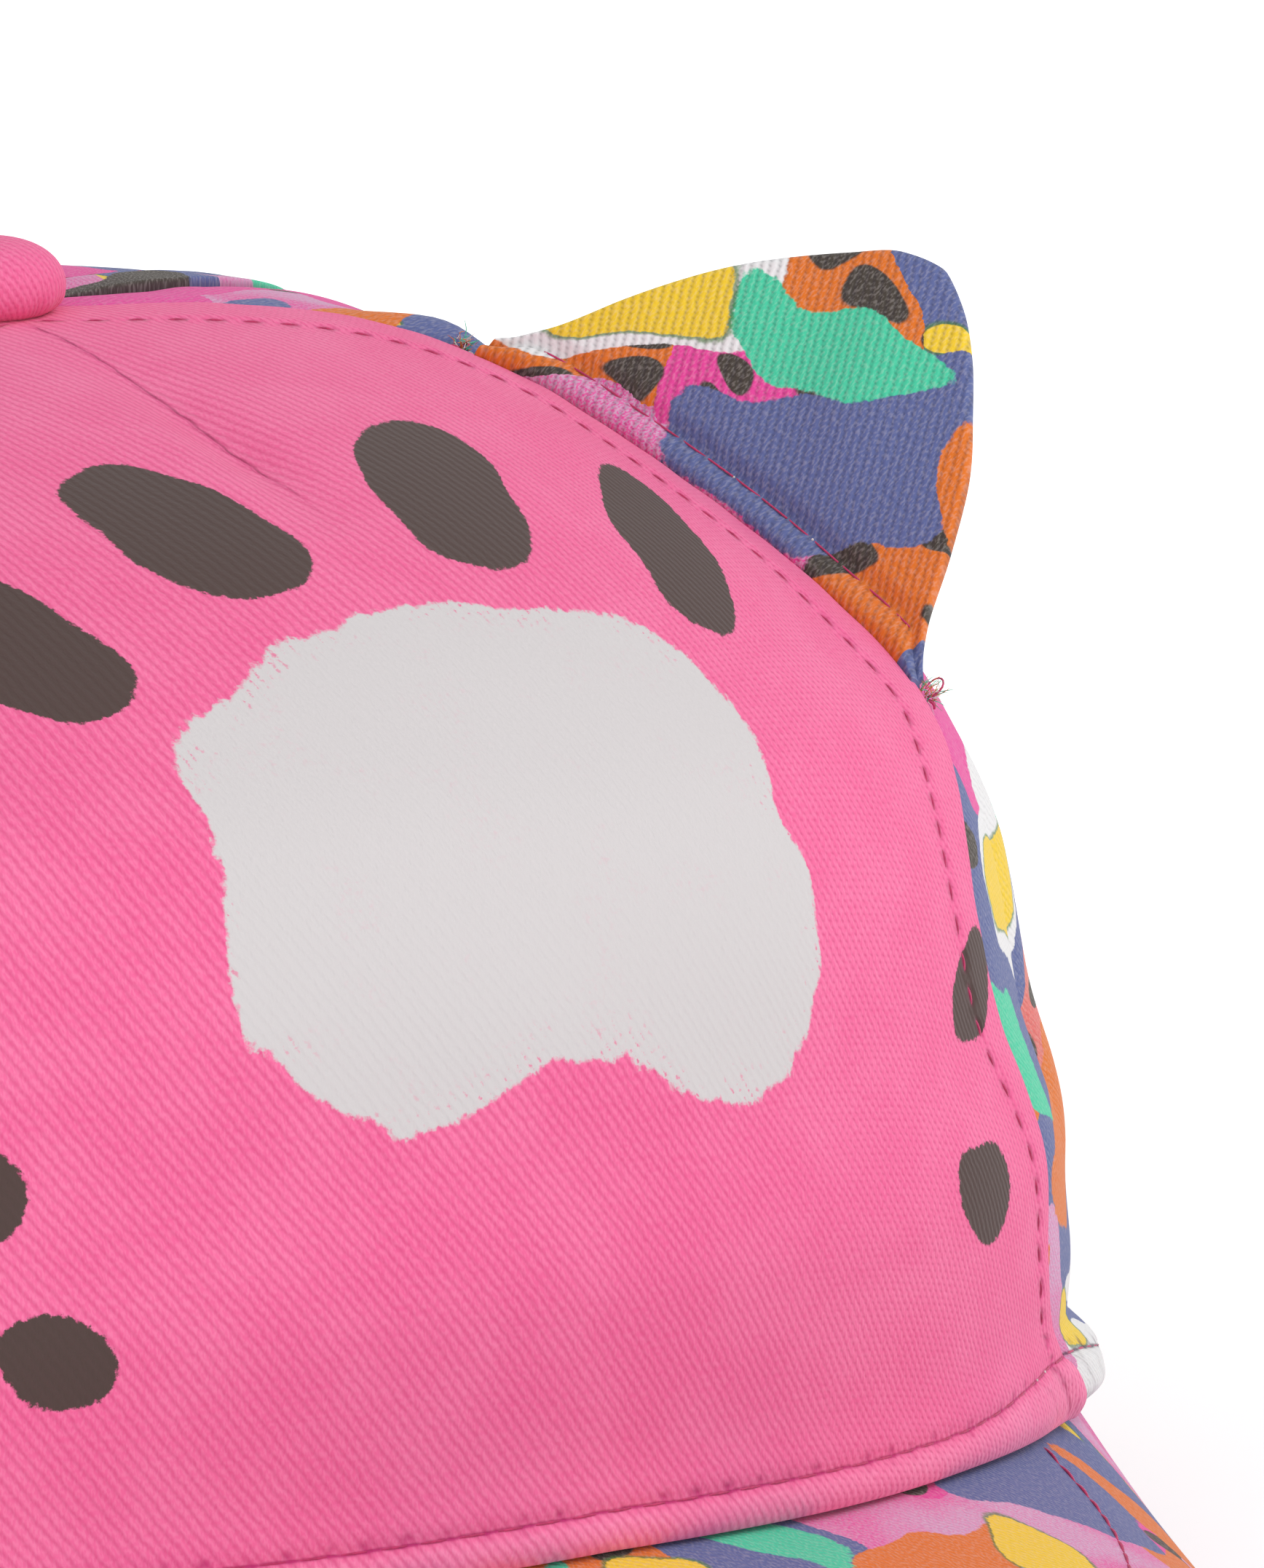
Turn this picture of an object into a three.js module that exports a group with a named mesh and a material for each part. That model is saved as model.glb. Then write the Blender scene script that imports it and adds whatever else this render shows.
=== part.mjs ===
// A child's cap with two small ears: five cloth panels round a covered button, a curved peak and
// a plain band inside the rim. Millimetres, +Z up, the front towards -Y, at rest on the back of
// its rim and on the two low sides of its peak. Shapes are worked out about the rim's middle.
import * as THREE from 'three';
import { mergeVertices } from 'three/addons/utils/BufferGeometryUtils.js';

// Driving dimensions
const HALF_WIDTH = 77.2;
const HALF_LENGTH = 89.6;
const CROWN_HEIGHT = 97;
const BUTTON_SET_BACK = 3.6;
const CLOTH = 1.8;
const GAP = 0.3;
const SEAM_GAP = 0.4;

// Rim: its height over the surface, by the angle from the front
const RIM = [
  { angle: 0, height: 24.2 },
  { angle: 25, height: 22.2 },
  { angle: 50, height: 17.2 },
  { angle: 60, height: 14.7 },
  { angle: 75, height: 11.1 },
  { angle: 90, height: 8.1 },
  { angle: 105, height: 5.6 },
  { angle: 120, height: 3.3 },
  { angle: 150, height: 0.2 },
  { angle: 165, height: 0 },
  { angle: 180, height: 0 },
];

// Crown: shares of the rim's half width and half length, by lift, an angle that climbs from
// 0 at the rim to 90 under the button
const CROWN = [
  { lift: 0, width: 1, length: 1 },
  { lift: 7, width: 1, length: 0.99 },
  { lift: 14, width: 1, length: 0.988 },
  { lift: 24, width: 0.951, length: 0.953 },
  { lift: 33, width: 0.925, length: 0.925 },
  { lift: 43, width: 0.864, length: 0.869 },
  { lift: 52, width: 0.734, length: 0.773 },
  { lift: 62, width: 0.591, length: 0.632 },
  { lift: 70, width: 0.49, length: 0.492 },
  { lift: 78, width: 0.366, length: 0.325 },
  { lift: 90, width: 0, length: 0 },
];

// Seams on one side of the cap: their angle from the front, by lift
const SEAMS = [
  { lift: 0, front: 47, back: 117 },
  { lift: 9, front: 42.5, back: 116 },
  { lift: 18, front: 42.1, back: 115 },
  { lift: 30, front: 40, back: 114 },
  { lift: 44, front: 48.7, back: 113 },
  { lift: 58, front: 58.6, back: 112 },
  { lift: 72, front: 69.7, back: 110 },
  { lift: 90, front: 78.5, back: 108 },
];

// Dart: how deep its crease runs down the middle of the front panel, by lift
const DART = [
  { lift: 65, depth: 0 },
  { lift: 70, depth: 0.9 },
  { lift: 74, depth: 1.6 },
  { lift: 80, depth: 1 },
  { lift: 86, depth: 0 },
  { lift: 90, depth: 0 },
];
const DART_HALF_WIDTH = 3;

// Rim roll: how far the hem bulges out, by the angle from the front, most over the peak's corner
const ROLL = [
  { angle: 0, out: 0.2 },
  { angle: 42, out: 0.5 },
  { angle: 58, out: 3 },
  { angle: 75, out: 2.6 },
  { angle: 110, out: 1 },
  { angle: 180, out: 0.8 },
];
const ROLL_EDGE_SHARE = 0.6;
const ROLL_FULL = 2;
const ROLL_TOP = 3.5;
const ROLL_END = 7.5;

// Panels: columns across and rows from rim to tip
const PANEL_TIP_LIFT = 88.5;
const PANEL_LIFTS = [0, 2, 5.4, 9.7, 14, 20, 27, 34, 41, 48, 55, 62, 69, 74, 80, PANEL_TIP_LIFT];
const FRONT_COLUMNS = 20;
const SIDE_COLUMNS = 10;

// Ears: flat pads caught in the front seams between two lifts, leaning outwards
const EAR_BACK_LIFT = 71.7;
const EAR_FRONT_LIFT = 44.2;
const EAR_RISE = new THREE.Vector3(0.75, -0.04, 0.66);
const EAR_THICKNESS = 2.4;
const EAR_COLUMNS = 16;
const EAR_ROWS = 5;
const EAR_TURN = 0.3;
const EAR_SEAT = 0.4;
const EAR_MIDDLE = 0.53;
const EAR_OUTLINE = [
  { fromMiddle: 0, height: 26 },
  { fromMiddle: 0.15, height: 25.1 },
  { fromMiddle: 0.3, height: 22.7 },
  { fromMiddle: 0.45, height: 19.3 },
  { fromMiddle: 0.6, height: 15.2 },
  { fromMiddle: 0.75, height: 10.2 },
  { fromMiddle: 0.88, height: 5 },
  { fromMiddle: 1, height: 1.8 },
];

// Peak: how far it reaches, where its corners meet the rim, and how steeply it falls
const PEAK_REACH = 58;
const PEAK_CORNER = 60;
const PEAK_ROUNDING = 1.95;
const PEAK_THICKNESS = 2.6;
const PEAK_FALL_MIDDLE = 0.175;
const PEAK_FALL_SIDE = 0.65;
const PEAK_FALL_CURVE = 5;
const PEAK_CORNER_OUT = 2;
const PEAK_COLUMNS = 28;
const PEAK_ROWS = 6;

// Sweatband: a closed loop inside the rim
const BAND_INSET = 0.9;
const BAND_THICKNESS = 1.2;
const BAND_FOOT = 1;
const BAND_HEIGHT = 24;
const BAND_COLUMNS = 60;

// Button: a covered dome on a headed post through the panels' tips
const BUTTON_PROFILE = [
  { radius: 0, height: -3.6 },
  { radius: 3.8, height: -3.6 },
  { radius: 4.2, height: -3.2 },
  { radius: 4.2, height: -2.3 },
  { radius: 2.1, height: -2.2 },
  { radius: 2.1, height: 0.35 },
  { radius: 4.7, height: 0.4 },
  { radius: 5.5, height: 0.8 },
  { radius: 5.9, height: 1.6 },
  { radius: 5.75, height: 2.7 },
  { radius: 5.1, height: 3.9 },
  { radius: 3.7, height: 4.85 },
  { radius: 1.9, height: 5.3 },
  { radius: 0, height: 5.4 },
];
const BUTTON_SIDES = 24;

// Finishes
const PINK_TWILL = { color: 0xee6aa0, roughness: 0.85 };
const PRINTED_TWILL = { color: 0x7a68b0, roughness: 0.88 };
const PRINTED_EAR = { color: 0xdb6a1c, roughness: 0.88 };
const PINK_TAPE = { color: 0xe487ac, roughness: 0.8 };

const radians = THREE.MathUtils.degToRad;

// The slope of a smooth column at its first or last row
function endSlope(step, nextStep, rise, nextRise) {
  const slope = ((2 * step + nextStep) * rise - step * nextRise) / (step + nextStep);
  if (slope * rise <= 0) return 0;
  if (rise * nextRise <= 0 && Math.abs(slope) > 3 * Math.abs(rise)) return 3 * rise;
  return slope;
}

// A smooth curve through one column of a table that never overshoots its rows
function smoothColumn(rows, along, column) {
  const at = rows.map((row) => row[along]);
  const values = rows.map((row) => row[column]);
  const steps = at.slice(1).map((next, k) => next - at[k]);
  const rises = steps.map((step, k) => (values[k + 1] - values[k]) / step);
  const last = steps.length - 1;
  const slopes = values.map((value, k) => {
    if (k === 0) return endSlope(steps[0], steps[1], rises[0], rises[1]);
    if (k > last) return endSlope(steps[last], steps[last - 1], rises[last], rises[last - 1]);
    if (rises[k - 1] * rises[k] <= 0) return 0;
    const before = 2 * steps[k] + steps[k - 1];
    const after = steps[k] + 2 * steps[k - 1];
    return (before + after) / (before / rises[k - 1] + after / rises[k]);
  });
  return (where) => {
    const x = THREE.MathUtils.clamp(where, at[0], at[last + 1]);
    let k = 0;
    while (k < last && x > at[k + 1]) k += 1;
    const t = (x - at[k]) / steps[k];
    const startValue = values[k] * (1 + 2 * t) * (1 - t) ** 2;
    const endValue = values[k + 1] * t * t * (3 - 2 * t);
    const bend = slopes[k] * t * (1 - t) ** 2 - slopes[k + 1] * t * t * (1 - t);
    return startValue + endValue + steps[k] * bend;
  };
}

const rimHeight = smoothColumn(RIM, 'angle', 'height');
const widthShare = smoothColumn(CROWN, 'lift', 'width');
const lengthShare = smoothColumn(CROWN, 'lift', 'length');
const frontSeam = smoothColumn(SEAMS, 'lift', 'front');
const backSeam = smoothColumn(SEAMS, 'lift', 'back');
const dartDepth = smoothColumn(DART, 'lift', 'depth');
const rollOut = smoothColumn(ROLL, 'angle', 'out');
const earHeight = smoothColumn(EAR_OUTLINE, 'fromMiddle', 'height');

// The level outward direction of the rim's ellipse at an angle from the front
function outward(angle) {
  const turn = radians(angle);
  return new THREE.Vector3(Math.sin(turn) / HALF_WIDTH, -Math.cos(turn) / HALF_LENGTH, 0).normalize();
}

// A point of the crown's plain form
function crownForm(angle, lift) {
  const turn = radians(angle);
  const rim = rimHeight(Math.abs(angle));
  return new THREE.Vector3(
    HALF_WIDTH * widthShare(lift) * Math.sin(turn),
    BUTTON_SET_BACK * (1 - lengthShare(lift)) - HALF_LENGTH * lengthShare(lift) * Math.cos(turn),
    rim + (CROWN_HEIGHT - rim) * Math.sin(radians(lift)),
  );
}

// A point of the crown's outer face, with the rim's roll and the dart's crease
function crownFace(angle, lift) {
  const point = crownForm(angle, lift);
  const overRim = point.z - rimHeight(Math.abs(angle));
  const swell = THREE.MathUtils.lerp(ROLL_EDGE_SHARE, 1, THREE.MathUtils.smoothstep(overRim, 0, ROLL_FULL));
  const fade = 1 - THREE.MathUtils.smoothstep(overRim, ROLL_TOP, ROLL_END);
  point.addScaledVector(outward(angle), rollOut(Math.abs(angle)) * swell * fade);
  if (Math.abs(angle) < 90) {
    point.z -= dartDepth(lift) * Math.exp(-((point.x / DART_HALF_WIDTH) ** 2));
  }
  return point;
}

// The crown's outward normal, from close points on its face
function crownNormal(angle, lift) {
  const around = crownFace(angle + 0.1, lift).sub(crownFace(angle - 0.1, lift));
  const upward = crownFace(angle, lift + 0.1).sub(crownFace(angle, Math.max(lift - 0.1, 0)));
  return around.cross(upward).normalize();
}

// A point inside the crown's wall, at a depth below its outer face
function crownWall(angle, lift, depth) {
  const face = crownFace(angle, lift);
  const point = face.clone().addScaledVector(crownNormal(angle, lift), -depth);
  if (lift === 0) point.z = face.z;
  return point;
}

// The lift at which the crown stands a given height over its rim
function liftOver(angle, height) {
  const share = height / (CROWN_HEIGHT - rimHeight(Math.abs(angle)));
  return THREE.MathUtils.radToDeg(Math.asin(share));
}

// The angle that stands half a seam's gap away from it, on the side that direction gives
function besideSeam(angle, lift, direction) {
  const perDegree = crownFace(angle + 0.5, lift).distanceTo(crownFace(angle - 0.5, lift));
  return angle + (direction * SEAM_GAP) / 2 / perDegree;
}

// Moves each corner of a closed form to its place and leaves one corner where several meet
function placed(geometry, place) {
  geometry.deleteAttribute('normal');
  geometry.deleteAttribute('uv');
  const merged = mergeVertices(geometry, 1e-5);
  const corners = merged.getAttribute('position');
  for (let i = 0; i < corners.count; i += 1) {
    const point = place(corners.getX(i), corners.getY(i), corners.getZ(i));
    corners.setXYZ(i, point.x, point.y, point.z);
  }
  merged.computeVertexNormals();
  return merged;
}

// A block bent to shape: place takes three shares, across, inwards and upwards
function bentBlock(columns, layers, rows, place) {
  const block = new THREE.BoxGeometry(1, 1, 1, columns, layers, rows);
  return placed(block, (x, y, z) => place(x + 0.5, y + 0.5, z + 0.5));
}

// The same form on the cap's other side
function mirrored(geometry) {
  const copy = geometry.clone();
  copy.scale(-1, 1, 1);
  const index = copy.getIndex();
  for (let i = 0; i < index.count; i += 3) {
    const first = index.getX(i);
    index.setX(i, index.getX(i + 2));
    index.setX(i + 2, first);
  }
  copy.computeVertexNormals();
  return copy;
}

// A panel of the crown between two seams, each given as its angle by lift
function panel(columns, fromSeam, toSeam) {
  const rows = PANEL_LIFTS.length - 1;
  return bentBlock(columns, 1, rows, (across, inwards, upwards) => {
    const lift = PANEL_LIFTS[Math.round(upwards * rows)];
    const from = besideSeam(fromSeam(lift), lift, 1);
    const to = besideSeam(toSeam(lift), lift, -1);
    return crownWall(THREE.MathUtils.lerp(from, to, across), lift, CLOTH * inwards);
  });
}

// The right ear: its foot follows the front seam and its edge stands over the seam's chord
function earPad() {
  const seamPoint = (lift) => crownFace(frontSeam(lift), lift);
  const start = seamPoint(EAR_BACK_LIFT);
  const chord = seamPoint(EAR_FRONT_LIFT).sub(start);
  const length = chord.length();
  chord.normalize();
  const rise = EAR_RISE.clone().addScaledVector(chord, -EAR_RISE.dot(chord)).normalize();
  const backwards = rise.clone().cross(chord);
  return bentBlock(EAR_COLUMNS, 1, EAR_ROWS, (across, inwards, upwards) => {
    const lift = THREE.MathUtils.lerp(EAR_BACK_LIFT, EAR_FRONT_LIFT, across);
    const normal = crownNormal(frontSeam(lift), lift);
    const foot = seamPoint(lift).addScaledVector(normal, EAR_SEAT);
    const along = foot.clone().sub(start).dot(chord);
    const share = THREE.MathUtils.clamp(along / length, 0, 1);
    const fromMiddle = share < EAR_MIDDLE ? 1 - share / EAR_MIDDLE : (share - EAR_MIDDLE) / (1 - EAR_MIDDLE);
    const edge = start.clone().addScaledVector(chord, along);
    edge.addScaledVector(rise, earHeight(fromMiddle));
    const point = foot.clone().lerp(edge, upwards);
    const atFoot = normal.clone().cross(chord).normalize();
    const through = atFoot.lerp(backwards, THREE.MathUtils.smoothstep(upwards, 0, EAR_TURN)).normalize();
    return point.addScaledVector(through, EAR_THICKNESS * (inwards - 0.5));
  });
}

// A point of the peak's upper face: turn runs from corner to corner, reach from rim to edge
function peakFace(turn, reach) {
  const quarter = (turn * Math.PI) / 2;
  const sideShare = Math.abs(Math.sin(quarter)) ** (2 / PEAK_ROUNDING);
  const frontShare = Math.max(0, Math.cos(quarter)) ** (2 / PEAK_ROUNDING);
  const corner = radians(PEAK_CORNER);
  const rimTurn = Math.asin(sideShare * Math.sin(corner));
  const angle = Math.sign(turn) * THREE.MathUtils.radToDeg(rimTurn);
  const inner = crownFace(angle, 0).addScaledVector(outward(angle), -CLOTH);
  const tip = crownForm(PEAK_CORNER, 0).addScaledVector(outward(PEAK_CORNER), PEAK_CORNER_OUT);
  const outer = new THREE.Vector3(
    Math.sign(turn) * tip.x * sideShare,
    tip.y - (HALF_LENGTH + PEAK_REACH + tip.y) * frontShare,
    inner.z,
  );
  const run = inner.distanceTo(outer) * reach;
  const fall = THREE.MathUtils.lerp(PEAK_FALL_MIDDLE, PEAK_FALL_SIDE, sideShare ** PEAK_FALL_CURVE);
  const point = inner.lerp(outer, reach);
  point.z -= GAP + fall * run;
  return point;
}

// The peak, a curved board that hangs from the rim between its two corners
function peakBoard() {
  return bentBlock(PEAK_COLUMNS, PEAK_ROWS, 1, (across, inwards, upwards) => {
    const turn = 2 * across - 1;
    const reach = 1 - inwards;
    const step = 0.01;
    const sideways = peakFace(Math.min(turn + step, 1), reach).sub(peakFace(Math.max(turn - step, -1), reach));
    const backwards = peakFace(turn, Math.max(reach - step, 0)).sub(peakFace(turn, Math.min(reach + step, 1)));
    const normal = sideways.cross(backwards).normalize();
    return peakFace(turn, reach).addScaledVector(normal, -PEAK_THICKNESS * (1 - upwards));
  });
}

// The sweatband, a loop that keeps its distance from the crown's inner face
function sweatbandLoop() {
  const corners = [[1, 0], [2, 0], [2, 0.5], [2, 1], [1, 1], [1, 0.5], [1, 0]];
  const profile = corners.map(([x, y]) => new THREE.Vector2(x, y));
  return placed(new THREE.LatheGeometry(profile, BAND_COLUMNS), (x, y, z) => {
    const angle = THREE.MathUtils.radToDeg(Math.atan2(x, z));
    const outerShare = Math.hypot(x, z) - 1;
    const inset = CLOTH + BAND_INSET + BAND_THICKNESS * (1 - outerShare);
    const lift = liftOver(angle, BAND_FOOT + BAND_HEIGHT * y);
    return crownForm(angle, lift).addScaledVector(outward(angle), -inset);
  });
}

// The button, with its post and the post's head inside the crown
function coveredButton() {
  const profile = BUTTON_PROFILE.map((row) => new THREE.Vector2(row.radius, row.height));
  return placed(new THREE.LatheGeometry(profile, BUTTON_SIDES), (x, y, z) => new THREE.Vector3(x, -z, y));
}

const cap = new THREE.Group();

// Adds one named piece in its own finish
function add(name, geometry, finish) {
  const mesh = new THREE.Mesh(geometry, new THREE.MeshStandardMaterial({ ...finish, metalness: 0 }));
  mesh.name = name;
  cap.add(mesh);
  return mesh;
}

add('front_panel', panel(FRONT_COLUMNS, (lift) => -frontSeam(lift), frontSeam), PINK_TWILL);

const sidePanel = panel(SIDE_COLUMNS, frontSeam, backSeam);
const backPanel = panel(SIDE_COLUMNS, backSeam, () => 180);
const ear = earPad();
add('side_panel_right', sidePanel, PRINTED_TWILL);
add('side_panel_left', mirrored(sidePanel), PRINTED_TWILL);
add('back_panel_right', backPanel, PRINTED_TWILL);
add('back_panel_left', mirrored(backPanel), PRINTED_TWILL);
add('ear_right', ear, PRINTED_EAR);
add('ear_left', mirrored(ear), PRINTED_EAR);

add('brim', peakBoard(), PRINTED_TWILL);
add('sweatband', sweatbandLoop(), PINK_TAPE);
add('button', coveredButton(), PINK_TWILL).position.set(0, BUTTON_SET_BACK, CROWN_HEIGHT);

// The origin is under the middle of the whole cap, on the surface that it rests on
const extent = new THREE.Box3().setFromObject(cap);
cap.position.set(0, -(extent.min.y + extent.max.y) / 2, -extent.min.z);

export default cap;
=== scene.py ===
"""Looks of a child's animal ear cap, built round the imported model.

Shapes are worked out in millimetres about the middle of the cap's rim, from the cap's own sizes. Each
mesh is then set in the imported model's frame, in metres. The crown, the button and the peak keep to the
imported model, and sewn rolls, creases and stitches are added to them.
"""

from __future__ import annotations

import logging
import math
from dataclasses import dataclass, field, fields
from enum import Enum
from typing import Callable, Sequence

import bpy
import numpy as np
from mathutils import Matrix, Vector

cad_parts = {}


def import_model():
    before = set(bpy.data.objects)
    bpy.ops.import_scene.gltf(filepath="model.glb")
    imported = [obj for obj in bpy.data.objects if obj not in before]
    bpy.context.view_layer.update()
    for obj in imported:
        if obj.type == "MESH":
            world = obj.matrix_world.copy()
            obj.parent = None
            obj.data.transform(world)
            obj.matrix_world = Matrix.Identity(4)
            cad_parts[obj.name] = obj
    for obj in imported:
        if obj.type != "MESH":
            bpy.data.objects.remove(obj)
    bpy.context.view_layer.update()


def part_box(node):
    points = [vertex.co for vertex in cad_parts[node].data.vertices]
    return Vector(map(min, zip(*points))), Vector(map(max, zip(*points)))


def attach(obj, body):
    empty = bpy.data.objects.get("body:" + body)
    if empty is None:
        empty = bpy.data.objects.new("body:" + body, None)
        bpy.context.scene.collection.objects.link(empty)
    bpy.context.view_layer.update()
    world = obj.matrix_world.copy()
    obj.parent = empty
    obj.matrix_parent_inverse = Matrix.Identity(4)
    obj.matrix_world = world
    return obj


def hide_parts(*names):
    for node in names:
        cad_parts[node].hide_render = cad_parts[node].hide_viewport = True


log = logging.getLogger("ear_cap")

MM = 0.001
FULL_TURN = 2 * math.pi
Array = np.ndarray
Colour = tuple[float, float, float, float]


def srgb(code: str) -> Colour:
    """Returns the linear colour of a screen colour's six hex digits."""
    shares = [int(code[k : k + 2], 16) / 255 for k in (0, 2, 4)]
    red, green, blue = ((s / 12.92) if s <= 0.04045 else ((s + 0.055) / 1.055) ** 2.4 for s in shares)
    return red, green, blue, 1.0


def smoothstep(x: Array, low: float, high: float) -> Array:
    """Returns a smooth share that climbs from 0 at low to 1 at high."""
    share = np.clip((x - low) / (high - low), 0, 1)
    return share * share * (3 - 2 * share)


def bell(x: Array, width: float) -> Array:
    """Returns a bell curve of height 1 round 0."""
    return np.exp(-((x / width) ** 2))


def unit(vectors: Array) -> Array:
    """Returns vectors scaled to length 1."""
    return vectors / np.maximum(np.linalg.norm(vectors, axis=-1, keepdims=True), 1e-12)


def spread(*values: Array) -> list[Array]:
    """Returns values of one shape, each repeated where the others have more."""
    return np.broadcast_arrays(*(np.asarray(value, float) for value in values))


def running_length(points: Array, axis: int = 0) -> Array:
    """Returns the distance travelled along rows of points, from 0 at the first."""
    steps = np.linalg.norm(np.diff(points, axis=axis), axis=-1)
    return np.concatenate([np.zeros_like(np.take(steps, [0], axis)), np.cumsum(steps, axis)], axis)


def ripple(along: Array, wave: float, seed: int) -> Array:
    """Makes an uneven wave that is the same on each run.

    Args:
        along: The places.
        wave: The waves' typical length.
        seed: Picks their phases.

    Returns:
        The wave at those places, between about -1 and 1.
    """
    draws = np.random.default_rng(seed)
    total = np.zeros_like(np.asarray(along, float))
    for stretch in (0.62, 1.0, 1.71):
        total = total + np.sin(FULL_TURN * along / (wave * stretch) + draws.uniform(0, FULL_TURN))
    return total / 3


class Curve:
    """A smooth curve through a table of values that never overshoots them."""

    def __init__(self, table: dict[float, float]) -> None:
        """Works out the curve's slope at each value.

        Args:
            table: The values, each after its place along the curve.
        """
        self.at = np.array(list(table), float)
        self.values = np.array(list(table.values()), float)
        self.steps = np.diff(self.at)
        rises = np.diff(self.values) / self.steps
        slopes = np.zeros_like(self.values)
        for k in range(1, len(rises)):
            if rises[k - 1] * rises[k] > 0:
                before = 2 * self.steps[k] + self.steps[k - 1]
                after = self.steps[k] + 2 * self.steps[k - 1]
                slopes[k] = (before + after) / (before / rises[k - 1] + after / rises[k])
        slopes[0] = self.end_slope(self.steps[0], self.steps[1], rises[0], rises[1])
        slopes[-1] = self.end_slope(self.steps[-1], self.steps[-2], rises[-1], rises[-2])
        self.slopes = slopes

    @staticmethod
    def end_slope(step: float, next_step: float, rise: float, next_rise: float) -> float:
        """Works out the slope at the curve's first or last value.

        Args:
            step: The distance to the value beside it.
            next_step: The distance from there to the next one.
            rise: The slope of the first step.
            next_rise: The slope of the next one.

        Returns:
            The slope at the end.
        """
        slope = ((2 * step + next_step) * rise - step * next_rise) / (step + next_step)
        if slope * rise <= 0:
            return 0.0
        if rise * next_rise <= 0 and abs(slope) > 3 * abs(rise):
            return 3 * rise
        return slope

    def __call__(self, where: Array) -> Array:
        """Reads the curve.

        Args:
            where: One or more places along it.

        Returns:
            The values there, with the end values beyond both ends.
        """
        x = np.clip(np.asarray(where, float), self.at[0], self.at[-1])
        k = np.clip(np.searchsorted(self.at, x, side="left") - 1, 0, len(self.steps) - 1)
        t = (x - self.at[k]) / self.steps[k]
        ends = self.values[k] * (1 + 2 * t) * (1 - t) ** 2 + self.values[k + 1] * t * t * (3 - 2 * t)
        bend = self.slopes[k] * t * (1 - t) ** 2 - self.slopes[k + 1] * t * t * (1 - t)
        return ends + self.steps[k] * bend


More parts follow.
